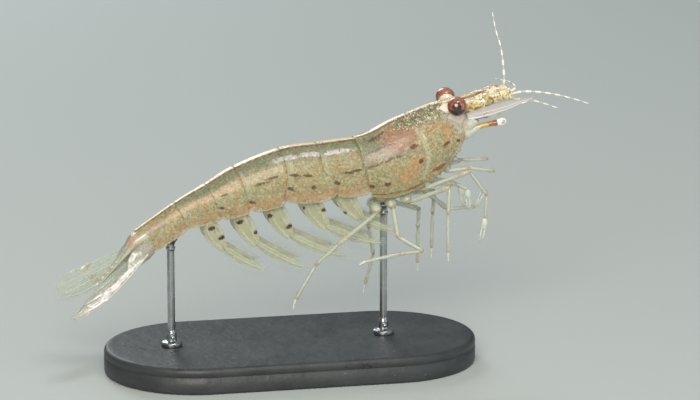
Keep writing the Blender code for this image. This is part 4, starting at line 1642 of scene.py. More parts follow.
@dataclass(frozen=True)
class Leaf:
    """A thin blade along a path, with ribs along it.

    Ribs are (place across from -1 to 1, height, half width). Bars are (place along, height, half width).
    """

    path: Array
    across: Array
    wide: Array
    thick: Array
    ribs: Route = ((0.0, 0.08, 0.1),)
    bars: Route = ()
    columns: int = 41

    @staticmethod
    def square(path: Array, across: Array) -> tuple[Array, Array]:
        """The tangents of a path, and the part of another direction that is square to each."""
        ahead = unit(np.gradient(path, axis=0))
        return ahead, unit(across - ahead * np.sum(across * ahead, -1, keepdims=True))

    def grid(self) -> tuple[Array, dict[str, Array]]:
        """The closed grid of the blade, and its masks.

        Returns:
            The points in rows and columns, and the masks.
        """
        ahead, side = self.square(self.path, self.across)
        up = np.cross(ahead, side)
        x = np.linspace(-1, 1, self.columns)
        s = ramp(len(self.path))[:, None]
        faces = []
        for face in (1, -1):
            row = x if face == 1 else x[-2:0:-1]
            rib = sum(height * bell(row, at, width) for at, height, width in self.ribs)[None]
            bar = sum(height * bell(s, at, width) for at, height, width in self.bars)
            lift = self.thick[:, None] / 2 * np.sqrt(np.clip(1 - row**2, 0.0, 1))[None] + 0.01
            lift = lift + (rib + bar) * (1 - row[None] ** 4) * ease(self.wide, 0, 0.25)[:, None]
            spread = side[:, None] * (self.wide[:, None] * row)[..., None]
            points = self.path[:, None] + spread + up[:, None] * (face * lift)[..., None]
            faces.append((points, row[None], rib))
        grid, row, ribs = (np.concatenate(kind, 1) for kind in zip(*faces))
        peak = max(height for _, height, _ in self.ribs)
        masks = {"rib": np.clip(ribs / peak, 0, 1), "edge": ease(np.abs(row), 0.86, 0.97), "across": row * 3}
        return grid, masks

    def fringe(
        self, setae: Setae, length: tuple, low: float, high: float, sides: tuple, step: float = 0.11
    ) -> None:
        """Adds bristles along the blade's edges.

        Args:
            setae: Where they go.
            length: Their length, as one number or one for each station of the fringe.
            low: Where along the blade they start.
            high: Where they end.
            sides: The edges, by sign.
            step: The space between them.
        """
        reach = float(np.linalg.norm(self.path[-1] - self.path[0])) * (high - low)
        count = max(int(reach / step), 3)
        s = np.linspace(low, high, count)
        path = read(self.path, s)
        wide = np.interp(s, ramp(len(self.path)), self.wide)
        ahead, across = self.square(path, read(self.across + 0 * self.path, s))
        lean = (0.55 + 1.6 * ease(s, 0.7, 1.0))[:, None]
        lengths = smooth(length, (s - low) / (high - low))
        for sign in sides:
            roots = path + across * (sign * wide * 0.97)[:, None]
            setae.comb(roots, across * sign + ahead * lean, lengths, 0.011, 0.03)


@dataclass
class Swimmeret:
    """A swimmeret: a broad leaf-shaped stem, and two long fringed blades that sweep forwards."""

    index: int
    side: Side
    back: Back = Back()
    stem: Pair = (3.0, -61.0)
    blade: Pair = (5.0, -20.0)
    root_y: float = 1.0
    spots: Pairs = ()
    blades: Route = ((3.5, 1.0, 0.0), (-4.0, 0.88, 1.5))
    splay: float = 12.0

    def build(self, finish: Finish, setae: Setae) -> None:
        """Makes the swimmeret. Its dark spots are placed by X and Z.

        Args:
            finish: Its finish.
            setae: Where its bristles go.
        """
        sign = self.side.value
        root = self.back.place(self.index + 0.52, 0.9, 0.2 + 0.08 * self.index - 0.35)
        root = root + vec(0, sign * self.root_y, 0)
        down = heading(self.stem[1], self.splay, sign)
        elbow = root + down * (self.stem[0] + 0.35)
        edge = vec(0.9, 0.0, 0.45)
        size = 1 - 0.06 * max(self.index - 2, 0)
        s = ramp(60)
        limb = Moulding()
        bow = vec(-0.16, 0, 0.0) * np.sin(math.pi * s)[:, None]
        stalk = Leaf(
            path=run(root, elbow, 60) + bow, across=edge,
            wide=size * smooth((0.5, 0.8, 0.92, 0.84, 0.66, 0.4), s),
            thick=smooth((0.5, 0.46, 0.4, 0.36, 0.3), s), ribs=((-0.55, 0.05, 0.1), (0.35, 0.04, 0.12))
        )
        grid, masks = stalk.grid()
        spots = [blot(grid[..., 0], grid[..., 2], at, (0.36, 0.17), 20) for at in self.spots]
        limb.grid(grid, stalk=1.0, spot=np.maximum.reduce(spots), **masks)
        for number, (turn, reach, lift) in enumerate(self.blades):
            way = heading(self.blade[1] + lift, turn, sign)
            tip = elbow + way * self.blade[0] * reach
            foot = elbow - down * 0.25 + vec(0, sign * (0.12 - 0.24 * number), 0)
            path = run(foot, tip, 60) - vec(0, 0, 0.28) * np.sin(math.pi * s)[:, None]
            blade = Leaf(
                path=path, across=vec(0.35, 0.25 * sign * (1 - 2 * number), 0.9),
                wide=size * smooth((0.2, 0.34, 0.38, 0.35, 0.29, 0.2, 0.05), s),
                thick=smooth((0.2, 0.12, 0.08, 0.05), s), ribs=((0.0, 0.055, 0.22),), columns=25
            )
            grid, masks = blade.grid()
            limb.grid(grid, **masks)
            blade.fringe(setae, (0.35, 0.7, 0.8, 0.75, 0.6), 0.12, 0.99, (-1, 1))
        name = self.side.named(f"swimmeret_{self.index + 1}")
        place(limb, f"leaf_{name}", finish, "fin", name)


@dataclass
class TailFan:
    """The tail's middle spike and its two pairs of blades, the left pair raised and the right furled."""

    back: Back = Back()
    fall: float = 50.0
    spike_length: float = 5.6
    dish: float = 40.0
    furl: float = -15.0
    twist: float = 22.0
    blushes: dict[Side, Pairs] = field(
        default_factory=lambda: {
            Side.LEFT: ((0.61, 0.72), (0.55, -0.35)),
            Side.RIGHT: ((0.2, 0.25), (0.54, 0.15), (0.83, 0.1))
        }
    )
    ends: dict[Side, tuple[Route, ...]] = field(
        default_factory=lambda: {
            Side.LEFT: (((-13.7, 1.36, 11.2), (-20.5, 4.75, 7.0)), ((-14.0, 0.7, 10.9), (-20.25, 2.3, 7.05))),
            Side.RIGHT: (
                ((-13.3, -1.15, 11.35), (-20.2, -3.8, 6.35)), ((-12.9, -0.5, 11.85), (-19.1, -2.4, 7.15))
            )
        }
    )
    widths: dict[str, tuple[float, ...]] = field(
        default_factory=lambda: {
            "exopod": (0.46, 0.84, 1.1, 1.24, 1.26, 1.15),
            "endopod": (0.55, 0.75, 0.9, 0.96, 0.9, 0.7)
        }
    )

    def spike(self, finish: Finish, setae: Setae) -> None:
        """Makes the telson, arched above, with pairs of small spines and a bristly tip.

        Args:
            finish: Its finish.
            setae: Where its bristles go.
        """
        root = self.back.place(6.0, 0.25) - heading(self.fall) * 0.05
        s = ramp(90)
        back = -heading(self.fall)
        path = root + back * (self.spike_length * s)[:, None]
        path = path + (self.back.place(5.85, 0.34) - root) * ease(s, 0.12, 0.0)[:, None]
        wide = smooth((1.02, 0.98, 0.8, 0.58, 0.4, 0.22), s)
        thick = smooth((1.5, 0.92, 0.56, 0.36, 0.24, 0.14), s)
        leaf = Leaf(path, vec(0.0, 1.0, 0.0), wide, thick, ((-0.45, 0.05, 0.12), (0.45, 0.05, 0.12)))
        grid, masks = leaf.grid()
        rungs = (0.5 + 0.5 * np.cos(s * 110)) * ease(s, 0.2, 0.4)
        ladder = bell(np.abs(masks["across"] / 3), 0.45, 0.3) * rungs[:, None]
        marks = {"stalk": 0.95 * ease(s, 0.5, 0.1), "blush": 0.6 * bell(s, 0.16, 0.07)}
        spike = Moulding().grid(grid, ladder=ladder, **marks, **masks)
        above = vec(back[2], 0, -back[0])
        for k in (0.5, 0.62, 0.74, 0.85, 0.985):
            for sign in (-1, 1):
                foot = root + back * self.spike_length * k + above * 0.13
                foot = foot + vec(0, sign * 0.62 * float(smooth(wide, k)), 0)
                spike.spine(foot, foot + back * 0.34 + above * 0.08, 0.045, 8, horn=1.0)
        across = vec(0, 1, 0) * np.linspace(-0.2, 0.2, 10)[:, None]
        setae.comb(path[-1] + across, across * 1.6 + back, 0.75, 0.02, 0.0)
        place(spike, "tail_spike", finish, "fin", "telson")

    def blade(self, side: Side, part: str, ends: Array, widths: tuple, roll: Array) -> Leaf:
        """The leaf of one blade of the fan, dished across.

        Args:
            side: Its side.
            part: The name of its kind.
            ends: Its root and its tip.
            widths: Its half widths from root to tip.
            roll: How far its outer edge is raised, at each station along it.

        Returns:
            The leaf.
        """
        s = ramp(len(roll))
        turn = np.radians(roll)
        out = np.stack([0 * turn, side.value * np.cos(turn), np.sin(turn)], -1)
        sag = vec(0, 0, -0.2) * np.sin(math.pi * s)[:, None]
        ribs, bars = ((0.0, 0.06, 0.08), (0.34, 0.03, 0.06), (-0.34, 0.03, 0.06)), ()
        if part == "exopod":
            ribs = ((0.18, 0.055, 0.07), (0.6, 0.045, 0.06), (0.93, 0.07, 0.06), (-0.35, 0.02, 0.05))
            bars = ((0.8, 0.03, 0.012),)
        rounded = np.sqrt(np.clip(1 - (np.clip(s - 0.8, 0, 1) / 0.2) ** 2, 0.006, 1))
        thick = smooth((0.42, 0.2, 0.13, 0.08), s)
        return Leaf(run(*ends, len(s)) + sag, out, smooth(widths, s) * rounded, thick, ribs, bars, 61)

    def pair(self, side: Side, finishes: dict[Side, Finish], setae: Setae) -> None:
        """Makes one side's two blades, on a shared foot.

        Args:
            side: The side.
            finishes: The finish of each side.
            setae: Where its bristles go.
        """
        s = ramp(110)
        ends, rolls = self.ends[side], (self.dish + 0 * s, self.dish / 2 + 0 * s)
        if side is Side.RIGHT:
            rolls = [self.furl + self.twist * ease(s, low, 1.0) for low in (0.55, 0.5)]
        foot = sided((-12.7, 0.62, 11.75), side)
        for number, (part, wide) in enumerate(self.widths.items()):
            outer = part == "exopod"
            leaf = self.blade(side, part, np.array(ends[number]), wide, rolls[number])
            grid, masks = leaf.grid()
            piece = Moulding()
            across, along = masks["across"] / 3, s[:, None]
            if outer:
                marks = {
                    "hinge": blot(along, across, (0.66, 0.86), (0.02, 0.16), 10),
                    # gleam is a painted highlight: white over the blade's lower half, where the soft box's
                    # reflection falls
                    "gleam": bell(across, 0.4, 0.45) * ease(along, 0.02, 0.14) * ease(along, 0.8, 0.5)
                }
            else:
                rungs = ease(along, 0.15, 0.3) * ease(along, 0.66, 0.5) * (0.5 + 0.5 * np.cos(along * 130))
                marks = {"ladder": bell(across, -0.35, 0.3) * rungs}
            if outer or side is Side.LEFT:
                marks["blush"] = blots(along, across, *((*at, 0.024, 0.2, 12) for at in self.blushes[side]))
            marks["soft_tip"] = ease(along, 0.45, 0.75) * ease(across, -0.6, 0.1)
            piece.grid(grid, stalk=0.7 * ease(s, 0.22, 0.0), **marks, **masks)
            whole = (0.1, 0.65, 0.75, 0.7)
            leaf.fringe(setae, whole, 0.25, 0.995, (-1,) if outer else (-1, 1), 0.075)
            if outer:
                leaf.fringe(setae, (0.4, 0.7, 0.7), 0.82, 0.995, (1,), 0.06)
                thorn = leaf.path[87] + leaf.across[87] * leaf.wide[87] * 0.9
                tip = thorn + unit(leaf.path[-1] - leaf.path[0]) * 0.55 + leaf.across[87] * 0.1
                piece.spine(thorn, tip, 0.07, 10, horn=1.0)
                share = ramp(40)
                hull = run(foot, leaf.path[26], 40) + vec(-0.16, 0, 0.2) * np.sin(math.pi * share)[:, None]
                girth = smooth((0.72, 0.9, 0.92, 0.82, 0.62, 0.22), share)
                grid = tube(hull, girth, girth * 0.72, 36, up=(0.55, 0, 0.84))
                # The foot's gleam is a painted highlight too, paler towards the blade.
                piece.grid(grid, blush=0.5 * bell(share, 0.25, 0.1), gleam=0.5 * ease(share, 0.2, 0.8))
            name = side.named(f"uropod_{part}")
            place(piece, f"fan_{name}", finishes[side], "fin", name)


@dataclass
class Scale:
    """The broad fringed scale over the foot of a long feeler."""

    side: Side
    root: Point = (15.9, 1.55, 22.5)
    tip: Point = (21.9, 1.85, 23.98)
    roll: float = -24.0

    def build(self, finish: Finish, setae: Setae) -> None:
        """Makes the scale, with a straight outer edge that ends in a spine.

        Args:
            finish: Its finish.
            setae: Where its bristles go.
        """
        s = ramp(100)
        roll = math.radians(self.roll)
        out = vec(0, self.side.value * math.cos(roll), math.sin(roll))
        path = run(sided(self.root, self.side), sided(self.tip, self.side), 100)
        wide = smooth((0.5, 0.68, 0.7, 0.56, 0.3, 0.07), s)
        ribs = ((0.3, 0.05, 0.07), (0.88, 0.07, 0.08), (0.0, 0.02, 0.06))
        leaf = Leaf(path, out, wide, smooth((0.4, 0.2, 0.13, 0.08), s), ribs)
        grid, masks = leaf.grid()
        piece = Moulding().grid(grid, stalk=0.5 * ease(s, 0.25, 0.0), **masks)
        foot = path[82] + out * wide[82] * 0.93
        piece.spine(foot, foot + unit(path[-1] - path[0]) * 0.6, 0.075, 10, horn=1.0)
        leaf.fringe(setae, (0.15, 0.6, 0.75, 0.7), 0.18, 0.995, (-1,), 0.07)
        leaf.fringe(setae, (0.5, 0.6), 0.86, 0.995, (1,), 0.06)
        place(piece, self.side.named("scale"), finish, "fin", self.side.named("antenna_scale"))


# ---------------- stand and studio


@dataclass
class Stand:
    """The slate base, and the two steel rods with a collar below and a cup above."""

    collar: float = 0.95
    rod: float = 0.34
    cup: float = 0.62
    edge: float = 0.45

    def lathe(self, profile: list[Pair], turn: Array, x: object) -> Array:
        """The rings of a profile of radii and heights, turned about a place on X."""
        rings = [(x + r * np.cos(turn), r * np.sin(turn), z + 0 * turn) for r, z in profile]
        return np.stack([np.stack(ring, -1) for ring in rings])

    def slab(self, finish: Finish) -> float:
        """Makes the base, a stadium with a rounded rim and a fine step, and returns its top's height.

        Args:
            finish: Its finish.

        Returns:
            The height of its top.
        """
        low, high = (np.array(corner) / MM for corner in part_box("stand_base"))
        radius, top = (high[1] - low[1]) / 2, float(high[2])
        straight = (high[0] - low[0]) / 2 - radius
        arc = np.linspace(0, math.pi / 2, 9)
        profile = [(self.edge * 0.5, 0.0), (0.05, self.edge * 0.35), (0.0, self.edge * 0.7)]
        profile += [(0.0, top * 0.62), (0.07, top * 0.64), (0.07, top * 0.67), (0.0, top * 0.69)]
        profile += [(self.edge * (1 - math.cos(a)), top - self.edge * (1 - math.sin(a))) for a in arc]
        profile += [(k * radius, top) for k in (0.12, 0.25, 0.4, 0.55, 0.7, 0.85)]
        turn = (np.arange(144) + 0.5) / 144 * 2 * math.pi
        inset = [(radius - step, z) for step, z in profile]
        rings = self.lathe(inset, turn, np.sign(np.cos(turn)) * straight)
        place(Moulding().grid(rings), "slate_base", finish, "stand_base", "stand_base")
        return top

    def turned_post(self, node: str, name: str, floor: float, finish: Finish) -> None:
        """Makes one rod with its collar, screw and cup.

        Args:
            node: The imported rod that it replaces.
            name: The piece's name.
            floor: The height of the base's top.
            finish: The steel.
        """
        low, high = (np.array(corner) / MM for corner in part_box(node))
        x, top, rod = (low[0] + high[0]) / 2, float(high[2]), self.rod
        profile = [
            (self.collar, floor), (self.collar, floor + 0.3), (self.collar - 0.12, floor + 0.42),
            (rod + 0.12, floor + 0.5), (rod + 0.1, floor + 1.25), (rod, floor + 1.4), (rod, top - 0.95),
            (rod + 0.09, top - 0.85), (rod + 0.09, top - 0.7), (rod, top - 0.6), (rod + 0.05, top - 0.35),
            (self.cup, top - 0.04), (self.cup, top + 0.04), (self.cup - 0.14, top + 0.02), (0.2, top - 0.12)
        ]
        stops = [np.array(p) for p in profile]
        fine = [a + (b - a) * k for a, b in zip(stops, stops[1:]) for k in (0.02, 0.35, 0.65, 0.98)]
        post = Moulding().grid(self.lathe(fine, circle(40), x))
        screw = run(vec(x, -rod - 0.02, floor + 0.88), vec(x, -rod - 0.42, floor + 0.88), 10)
        post.grid(tube(screw, smooth((0.16, 0.17, 0.17, 0.15), ramp(10)), None, 20, up=(0, 0, 1)))
        place(post, name, finish, "stand_rod", node)

    def build(self, slate: Finish, steel: Finish) -> None:
        """Makes the stand.

        Args:
            slate: The base's finish.
            steel: The rods' finish.
        """
        floor = self.slab(slate)
        for end in ("front", "rear"):
            self.turned_post(f"stand_rod_{end}", f"{end}_post", floor, steel)


@dataclass
class Studio:
    """The pale floor, the soft lights and the camera."""

    target: Point = (5.5, 0.0, 15.0)
    turn: float = -12.5
    rise: float = 13.0
    distance: float = 315.0
    lens: float = 180.0
    floor_size: float = 9.0
    floor_tone: str = "bac1bf"
    sky_tone: str = "cbcfce"
    sky_strength: float = 0.45

    def back(self) -> Vector:
        """The unit vector from the target to the camera."""
        a, e = math.radians(self.turn), math.radians(self.rise)
        return Vector((math.sin(a) * math.cos(e), -math.cos(a) * math.cos(e), math.sin(e)))

    def camera(self) -> None:
        """Places the camera."""
        data = bpy.data.cameras.new("camera")
        data.lens, data.sensor_width = self.lens, 36.0
        data.clip_start, data.clip_end = 0.01, 50.0
        camera = linked("camera", data)
        camera.location = (Vector(self.target) + self.back() * self.distance) * MM
        camera.rotation_euler = (-self.back()).to_track_quat("-Z", "Y").to_euler()
        bpy.context.scene.camera = camera

    def floor(self) -> None:
        """Makes the floor, which curves up far behind."""
        half, count = self.floor_size / 2 / MM, 49
        x, y = np.meshgrid(*[np.linspace(-half, half, count)] * 2)
        away = np.maximum(np.hypot(x, y) - half * 0.55, 0)
        piece = Moulding().grid(np.stack([x, y, away**2 / half * 1.6], -1), wrap=False).make("floor")
        material, nodes, shader = blank("pale floor")
        tone = tint(self.floor_tone)
        paler = tuple(min(c * 1.05, 1.0) for c in tone)
        nodes.feed(shader["Base Color"], nodes.mix(nodes.noise(6.0), tone, paler))
        nodes.feed(shader["Roughness"], 0.75)
        piece.data.materials.append(material)

    def light(self, name: str, at: Point, size: Pair, power: float, tone: str = "ffffff") -> None:
        """Hangs a soft box that faces the target.

        Args:
            name: Its name.
            at: The way to it from the target, and its distance, in millimetres.
            size: Its width and height.
            power: Its power in watts.
            tone: Its colour.
        """
        data = bpy.data.lights.new(name, "AREA")
        data.shape, data.size, data.size_y = "RECTANGLE", size[0] * MM, size[1] * MM
        data.energy, data.color = power, tint(tone)[:3]
        lamp = linked(name, data)
        lamp.location = (Vector(self.target) + Vector(at)) * MM
        lamp.rotation_euler = (-Vector(at)).to_track_quat("-Z", "X").to_euler()

    def build(self) -> None:
        """Sets up the whole studio."""
        self.floor()
        self.camera()
        world = bpy.data.worlds.new("studio")
        world.use_nodes = True
        sky = world.node_tree.nodes["Background"].inputs
        sky["Color"].default_value, sky["Strength"].default_value = tint(self.sky_tone), self.sky_strength
        scene = bpy.context.scene
        scene.world, scene.cycles.transparent_max_bounces = world, 24
        scene.view_settings.view_transform = "Standard"
        self.light("bar", (60, -150, 330), (50, 150), 0.28)
        self.light("key", (-110, -350, 190), (240, 220), 1.5, "fff6ea")
        self.light("fill", (330, -220, 90), (300, 300), 0.35, "eef4ff")
        self.light("rim", (-60, 330, 200), (260, 140), 0.5, "f6fcff")


# ---------------- finishes


@dataclass(frozen=True)
class FleshFinish(Finish):
    """Soft tissue with muscle fibres running along it."""

    fibre: str = "a5744f"
    fibre_size: float = 0.42
    stretch: float = 5.0
    fibre_share: float = 0.5

    def colour(self, nodes: Nodes) -> Coat:
        """The colour with the fibres over the two tones, and the cover.

        Args:
            nodes: The material's nodes.

        Returns:
            The colour and the cover.
        """
        colour, cover = super().colour(nodes)
        sockets = {"along": nodes.mask("along"), "across": nodes.mask("across")}
        fibres = Effect.FIBRES.use(nodes, **sockets, size=self.fibre_size, stretch=self.stretch)
        strength = nodes.sum("MULTIPLY", nodes.rise(fibres, 0.48, 0.66), self.fibre_share)
        return nodes.mix(strength, colour, tint(self.fibre)), cover


@dataclass(frozen=True)
class EyeFinish(Finish):
    """The cornea: fine facets over streaked pigment."""

    facet: float = 0.035

    def extras(self, nodes: Nodes, shader: object) -> None:
        """Adds the facets to the relief.

        Args:
            nodes: The material's nodes.
            shader: The inputs of its shader.
        """
        ray = nodes.noise(3.2, 3.0, nodes.add("CombineXYZ", {0: nodes.mask("ray")}).outputs[0])
        colour = shader["Base Color"].links[0].from_socket
        streak = nodes.sum("MULTIPLY", nodes.rise(ray, 0.45, 0.7), 0.5)
        nodes.feed(shader["Base Color"], nodes.mix(streak, colour, tint("7a3427")))
        facets = nodes.cells(1000 / self.facet).outputs["Distance"]
        nodes.feed(shader["Normal"], nodes.bump(0.35, 0.006, nodes.sum("SUBTRACT", 1.0, facets)))


SHELL = Finish(
    "speckled shell", "ccc69c", "b2b68e", 0.7, 0.38,
    clouds=(
        Cloud("97a884", 0.6, 0.4, 0.5), Cloud("cda26c", 0.55, 0.4, 0.5), Cloud("bd7d56", 0.4, 0.26, 0.45),
        Cloud("e3dab0", 0.24, 0.34, 0.42), Cloud("7c7450", 0.15, 0.38, 0.42)
    ),
    layers=(
        Layer("dusk", "7b8a70", 0.7, 1.2, 0.25, 0.45, 0.75),
        Layer("shade", "6c7a72", 0.8, 1.6, 0.3, 0.5, 0.75),
        # painted highlight on the upper flank of the rings, standing for the soft box's reflection
        Layer("pearl", "ded5da", 0.85, 1.6, 0.26, 0.5, 0.75),
        Layer("seam", "b9cfb6", 0.55, 0.9, 0.3, 0.45, 0.45),
        Layer("flush", "d8946c", 0.7, 2.0, 0.24, 0.5, 0.55),
        Layer("haze", "9c928e", 0.7, 2.2, 0.3, 0.5, 0.58), Layer("mauve", "a4705f", 0.8, 1.8, 0.3, 0.5, 0.75),
        Layer("orange", "dc925c", 0.8, 3.2, 0.3, 0.5, 0.6),
        Layer("amber", "d29a58", 0.8, 4.5, 0.34, 0.45, 0.62),
        Layer("pale", "d4d4ba", 0.75, 1.6, 0.3, 0.5, 0.55), Layer("veil", "ccd0c6", 0.7, 1.6, 0.3, 0.45, 0.7),
        Layer("under", "aeb084", 0.5, 0.8, 0.3, 0.45, 0.6),
        Layer("vein", "5c5044", 0.88, 1.8, 0.2, 0.4, 0.85), Layer("border", "7d5335", 0.8, 1.2, 0.4, 0.3),
        Layer("stripe", "f0e0c0", 1.0, 0.6, 0.3, 0.3), Layer("rim", "bdb68e", 0.45, 1.0, 0.3, 0.4, 0.3)
    ),
    freckles=(
        Freckles("625030", 0.17, 0.5, "speck", 0.8, 0.8), Freckles("9c5c38", 0.22, 0.34, "speck", 0.8, 0.65),
        Freckles("3c4234", 0.19, 0.5, "dusk", 0.85, 0.55), Freckles("b7c4a4", 0.22, 0.36, "dusk", 0.8, 0.65),
        Freckles("33302a", 0.24, 0.62, "gold", 0.9, 0.85), Freckles("a9604a", 0.26, 0.44, "gold", 0.9, 0.75),
        Freckles("efe2bd", 0.2, 0.48, "gold", 0.95, 0.95)
    ),
    top_layers=(
        Layer("spot", "5c3519", 0.96, 1.1, 0.18, 0.35, 0.92),
        Layer("dash", "8c4e22", 0.95, 1.2, 0.2, 0.4, 0.9)
    ),
    roughness=0.4, relief=0.26, relief_size=0.12, coat=0.3
)
FLESH = FleshFinish(
    "flesh", "c9bd90", "a5aa80", 0.9,
    layers=(
        Layer("joint", "b4c4a6", 1.0, 0.6, 0.4, 0.4, 0.8), Layer("gut", "6a6750", 1.0, 0.8, 0.5, 0.4, 0.9),
        Layer("flush", "dd9468", 1.0, 1.2, 0.4, 0.48, 0.9), Layer("tail", "c4b68e", 1.0, 0.6, 0.5, 0.4, 0.8),
        Layer("mauve", "9d6152", 1.0, 1.0, 0.5, 0.45), Layer("orange", "df7a42", 1.0, 1.2, 0.4, 0.45),
        Layer("amber", "d69e60", 1.0, 2.4, 0.4, 0.45, 0.8), Layer("cheek", "d2d0bc", 1.0, 0.5, 0.5),
        Layer("core", "efe6dc", 1.0, 0.2, 0.5), Layer("patch", "6f7f80", 1.0, 0.5, 0.4),
        Layer("belly", "bdbd92", 1.0, 0.4, 0.4)
    ),
    freckles=(Freckles("8a5c3c", 0.26, 0.3, 0.4, 1.0, 0.7), Freckles("e2d6ac", 0.36, 0.3, 0.35, 1.0, 0.7)),
    roughness=0.42, relief=0.4, relief_size=0.25, soft=0.35, coat=0.2
)
CLEAR_LIMB = Finish(
    "clear limb shell", "d3dac9", "c0ccb8", 0.5, 0.34,
    layers=(
        Layer("joint", "cda673", 0.75, 0.9, 0.25, 0.4, 0.65),
        Layer("band", "c09a62", 0.7, 0.9, 0.25, 0.4, 0.45), Layer("far", "e4eadd", 0.66, 0.3, 0.4),
        Layer("horn", "f4efde", 0.95, 0.2, 0.3), Layer("cup", "e8e0d0", 0.95, 0.2, 0.3)
    ),
    freckles=(Freckles("7c6a3c", 0.4, 0.2, 0.3, 0.75, 0.8),), roughness=0.24, relief=0.2, coat=0.7
)
MUSCLE = Finish(
    "limb muscle", "e6e6d2", "d2d8bf", 0.3, 0.62,
    layers=(Layer("joint", "cfa066", 0.85, 0.9, 0.25, 0.4, 0.7),), roughness=0.4, relief=0.3, soft=0.3
)
LEAF_CLEAR = Finish(
    "swimmeret shell", "bcc3a2", "cdd0b4", 0.6, 0.34,
    layers=(
        Layer("stalk", "b4b48e", 0.52, 0.9, 0.4, 0.4, 0.75), Layer("rib", "dfe0c8", 0.66, 1.0, 0.3, 0.5, 0.4),
        Layer("edge", "dfe4cc", 0.75, 0.6, 0.3, 0.4, 0.6), Layer("spot", "3d2415", 1.0, 0.7, 0.2, 0.35)
    ),
    freckles=(Freckles("8f6a3c", 0.3, 0.26, 0.35, 0.8, 0.7), Freckles("6f7a52", 0.22, 0.36, 0.4, 0.75, 0.6)),
    roughness=0.28, relief=0.2, coat=0.5
)
FAN_CLEAR = Finish(
    "clear tail fan", "b9c8b8", "cbd3c0", 0.9, 0.3,
    layers=(
        Layer("stalk", "c2ac88", 0.9, 1.4, 0.35, 0.45, 0.85), Layer("rib", "d2d4bb", 0.7, 0.6, 0.3, 0.4, 0.6),
        Layer("ladder", "a0924e", 0.85, 1.2, 0.2, 0.4, 0.8), Layer("edge", "dbe3d2", 0.7, 0.4, 0.3, 0.4, 0.7),
        Layer("blush", "cc8f78", 0.9, 2.0, 0.25, 0.5, 0.7), Layer("hinge", "fbf6ea", 0.95, 0.3, 0.2),
        Layer("horn", "fbf6ea", 1.0, 0.0)
    ),
    freckles=(Freckles("8c8452", 0.4, 0.26, 0.4, 0.75, 0.7),), roughness=0.24, relief=0.25, coat=0.7
)
# The near (right) fan: the clear fan's own colours, plus a painted highlight (gleam) laid white over the
# lower half of each blade and over the foot.
FAN_WITH_PAINTED_HIGHLIGHT = Finish(
    "pearly tail fan", "b4c2b0", "c2c8b4", 0.5, 0.5,
    layers=(
        Layer("stalk", "c8b8a0", 0.88, 1.4, 0.35, 0.45, 0.85),
        Layer("rib", "d8d6c6", 0.75, 0.8, 0.3, 0.45, 0.45),
        Layer("soft_tip", "d9c4b6", 0.8, 1.4, 0.35, 0.45, 0.75),
        Layer("gleam", "fffafa", 1.0, 0.9, 0.45, 0.48, 1.0), Layer("edge", "e2dccf", 0.8, 0.6, 0.3, 0.4, 0.6),
        Layer("blush", "d58c7e", 0.95, 2.2, 0.25, 0.5, 0.75), Layer("hinge", "fbf6ea", 0.95, 0.2, 0.2),
        Layer("horn", "fbf6ea", 1.0, 0.0)
    ),
    freckles=(Freckles("c98a78", 0.45, 0.24, 0.35, 0.85, 0.7),), roughness=0.22, relief=0.25, coat=0.8
)
SCALE_CLEAR = Finish(
    "lilac scale", "d6cdd0", "c3cbc8", 0.8, 0.74,
    layers=(
        Layer("stalk", "cfd4cb", 0.85, 0.8, 0.4, 0.4, 0.8), Layer("rib", "e6dcdc", 0.85, 0.6, 0.3, 0.4, 0.6),
        Layer("edge", "e0dcd8", 0.85, 0.4, 0.3, 0.4, 0.6), Layer("horn", "fbf6ea", 1.0, 0.0)
    ),
    freckles=(Freckles("8f7a46", 0.45, 0.22, 0.3, 0.85),), roughness=0.24, relief=0.2, coat=0.7
)
PEDUNCLE = Finish(
    "gold-speckled stem", "c3b878", "ded3a8", 0.7,
    clouds=(
        Cloud("b39a34", 0.95, 0.46, 0.85), Cloud("a5ae7c", 0.8, 0.34, 0.7), Cloud("f0e4c4", 0.75, 0.38, 0.9),
        Cloud("d49c86", 0.6, 0.22, 0.6), Cloud("7d4a1e", 0.55, 0.28, 0.9), Cloud("4b3018", 0.34, 0.22, 0.85)
    ),
    layers=(
        # top is a painted light on each segment's upper side, low a painted shade on its under side
        Layer("top", "f6eed4", 1.0, 2.6, 0.45, 0.4, 0.5), Layer("low", "b79e3e", 1.0, 2.6, 0.5, 0.4, 0.35),
        Layer("lobe", "f8f2de", 1.0, 1.8, 0.3, 0.35, 0.85),
        Layer("groove", "5e3c1c", 1.0, 1.8, 0.35, 0.4, 0.75)
    ),
    freckles=(Freckles("fdf6da", 0.3, 0.4, 0.35), Freckles("5e3c1c", 0.34, 0.36, 0.3, 0.95, 0.8)),
    roughness=0.26, relief=0.5, relief_size=0.16, coat=0.5
)
ANTENNA_BASE = Finish(
    "antenna foot", "dfddcd", "cad2c4", 0.6, 0.8,
    clouds=(Cloud("dcc0a0", 0.5, 0.35, 0.6), Cloud("f0f2ea", 0.35, 0.3, 0.6)),
    layers=(
        Layer("rod", "c9ab58", 0.95, 0.6, 0.3, 0.4, 0.9), Layer("deep", "96571c", 1.0, 0.8, 0.3, 0.48, 0.95),
        Layer("bulb", "f8f5ee", 1.0, 0.2, 0.2)
    ),
    freckles=(Freckles("8f7a46", 0.4, 0.22, 0.3, 0.9, 0.6),), roughness=0.26, relief=0.3, coat=0.6
)
THREAD = Finish(
    "banded thread", "d8ddcc", "c4cdb9", 0.4, 0.72,
    layers=(Layer("band", "faf6ea", 0.98, 0.2, 0.2), Layer("root", "e8dcc4", 0.95, 0.3, 0.2)), roughness=0.3,
    relief=0.15, coat=0.4
)
BEAK = Finish(
    "beak", "bfae80", "a2a27c", 0.4, 0.72,
    layers=(
        Layer("rib", "e9dcb6", 0.9, 0.4, 0.3), Layer("edge", "d9c79a", 0.85, 0.4, 0.3),
        Layer("tip", "a97a50", 0.85, 0.7, 0.3)
    ),
    freckles=(Freckles("5f4a2c", 0.3, 0.3, 0.5),), roughness=0.28, relief=0.3, coat=0.5
)
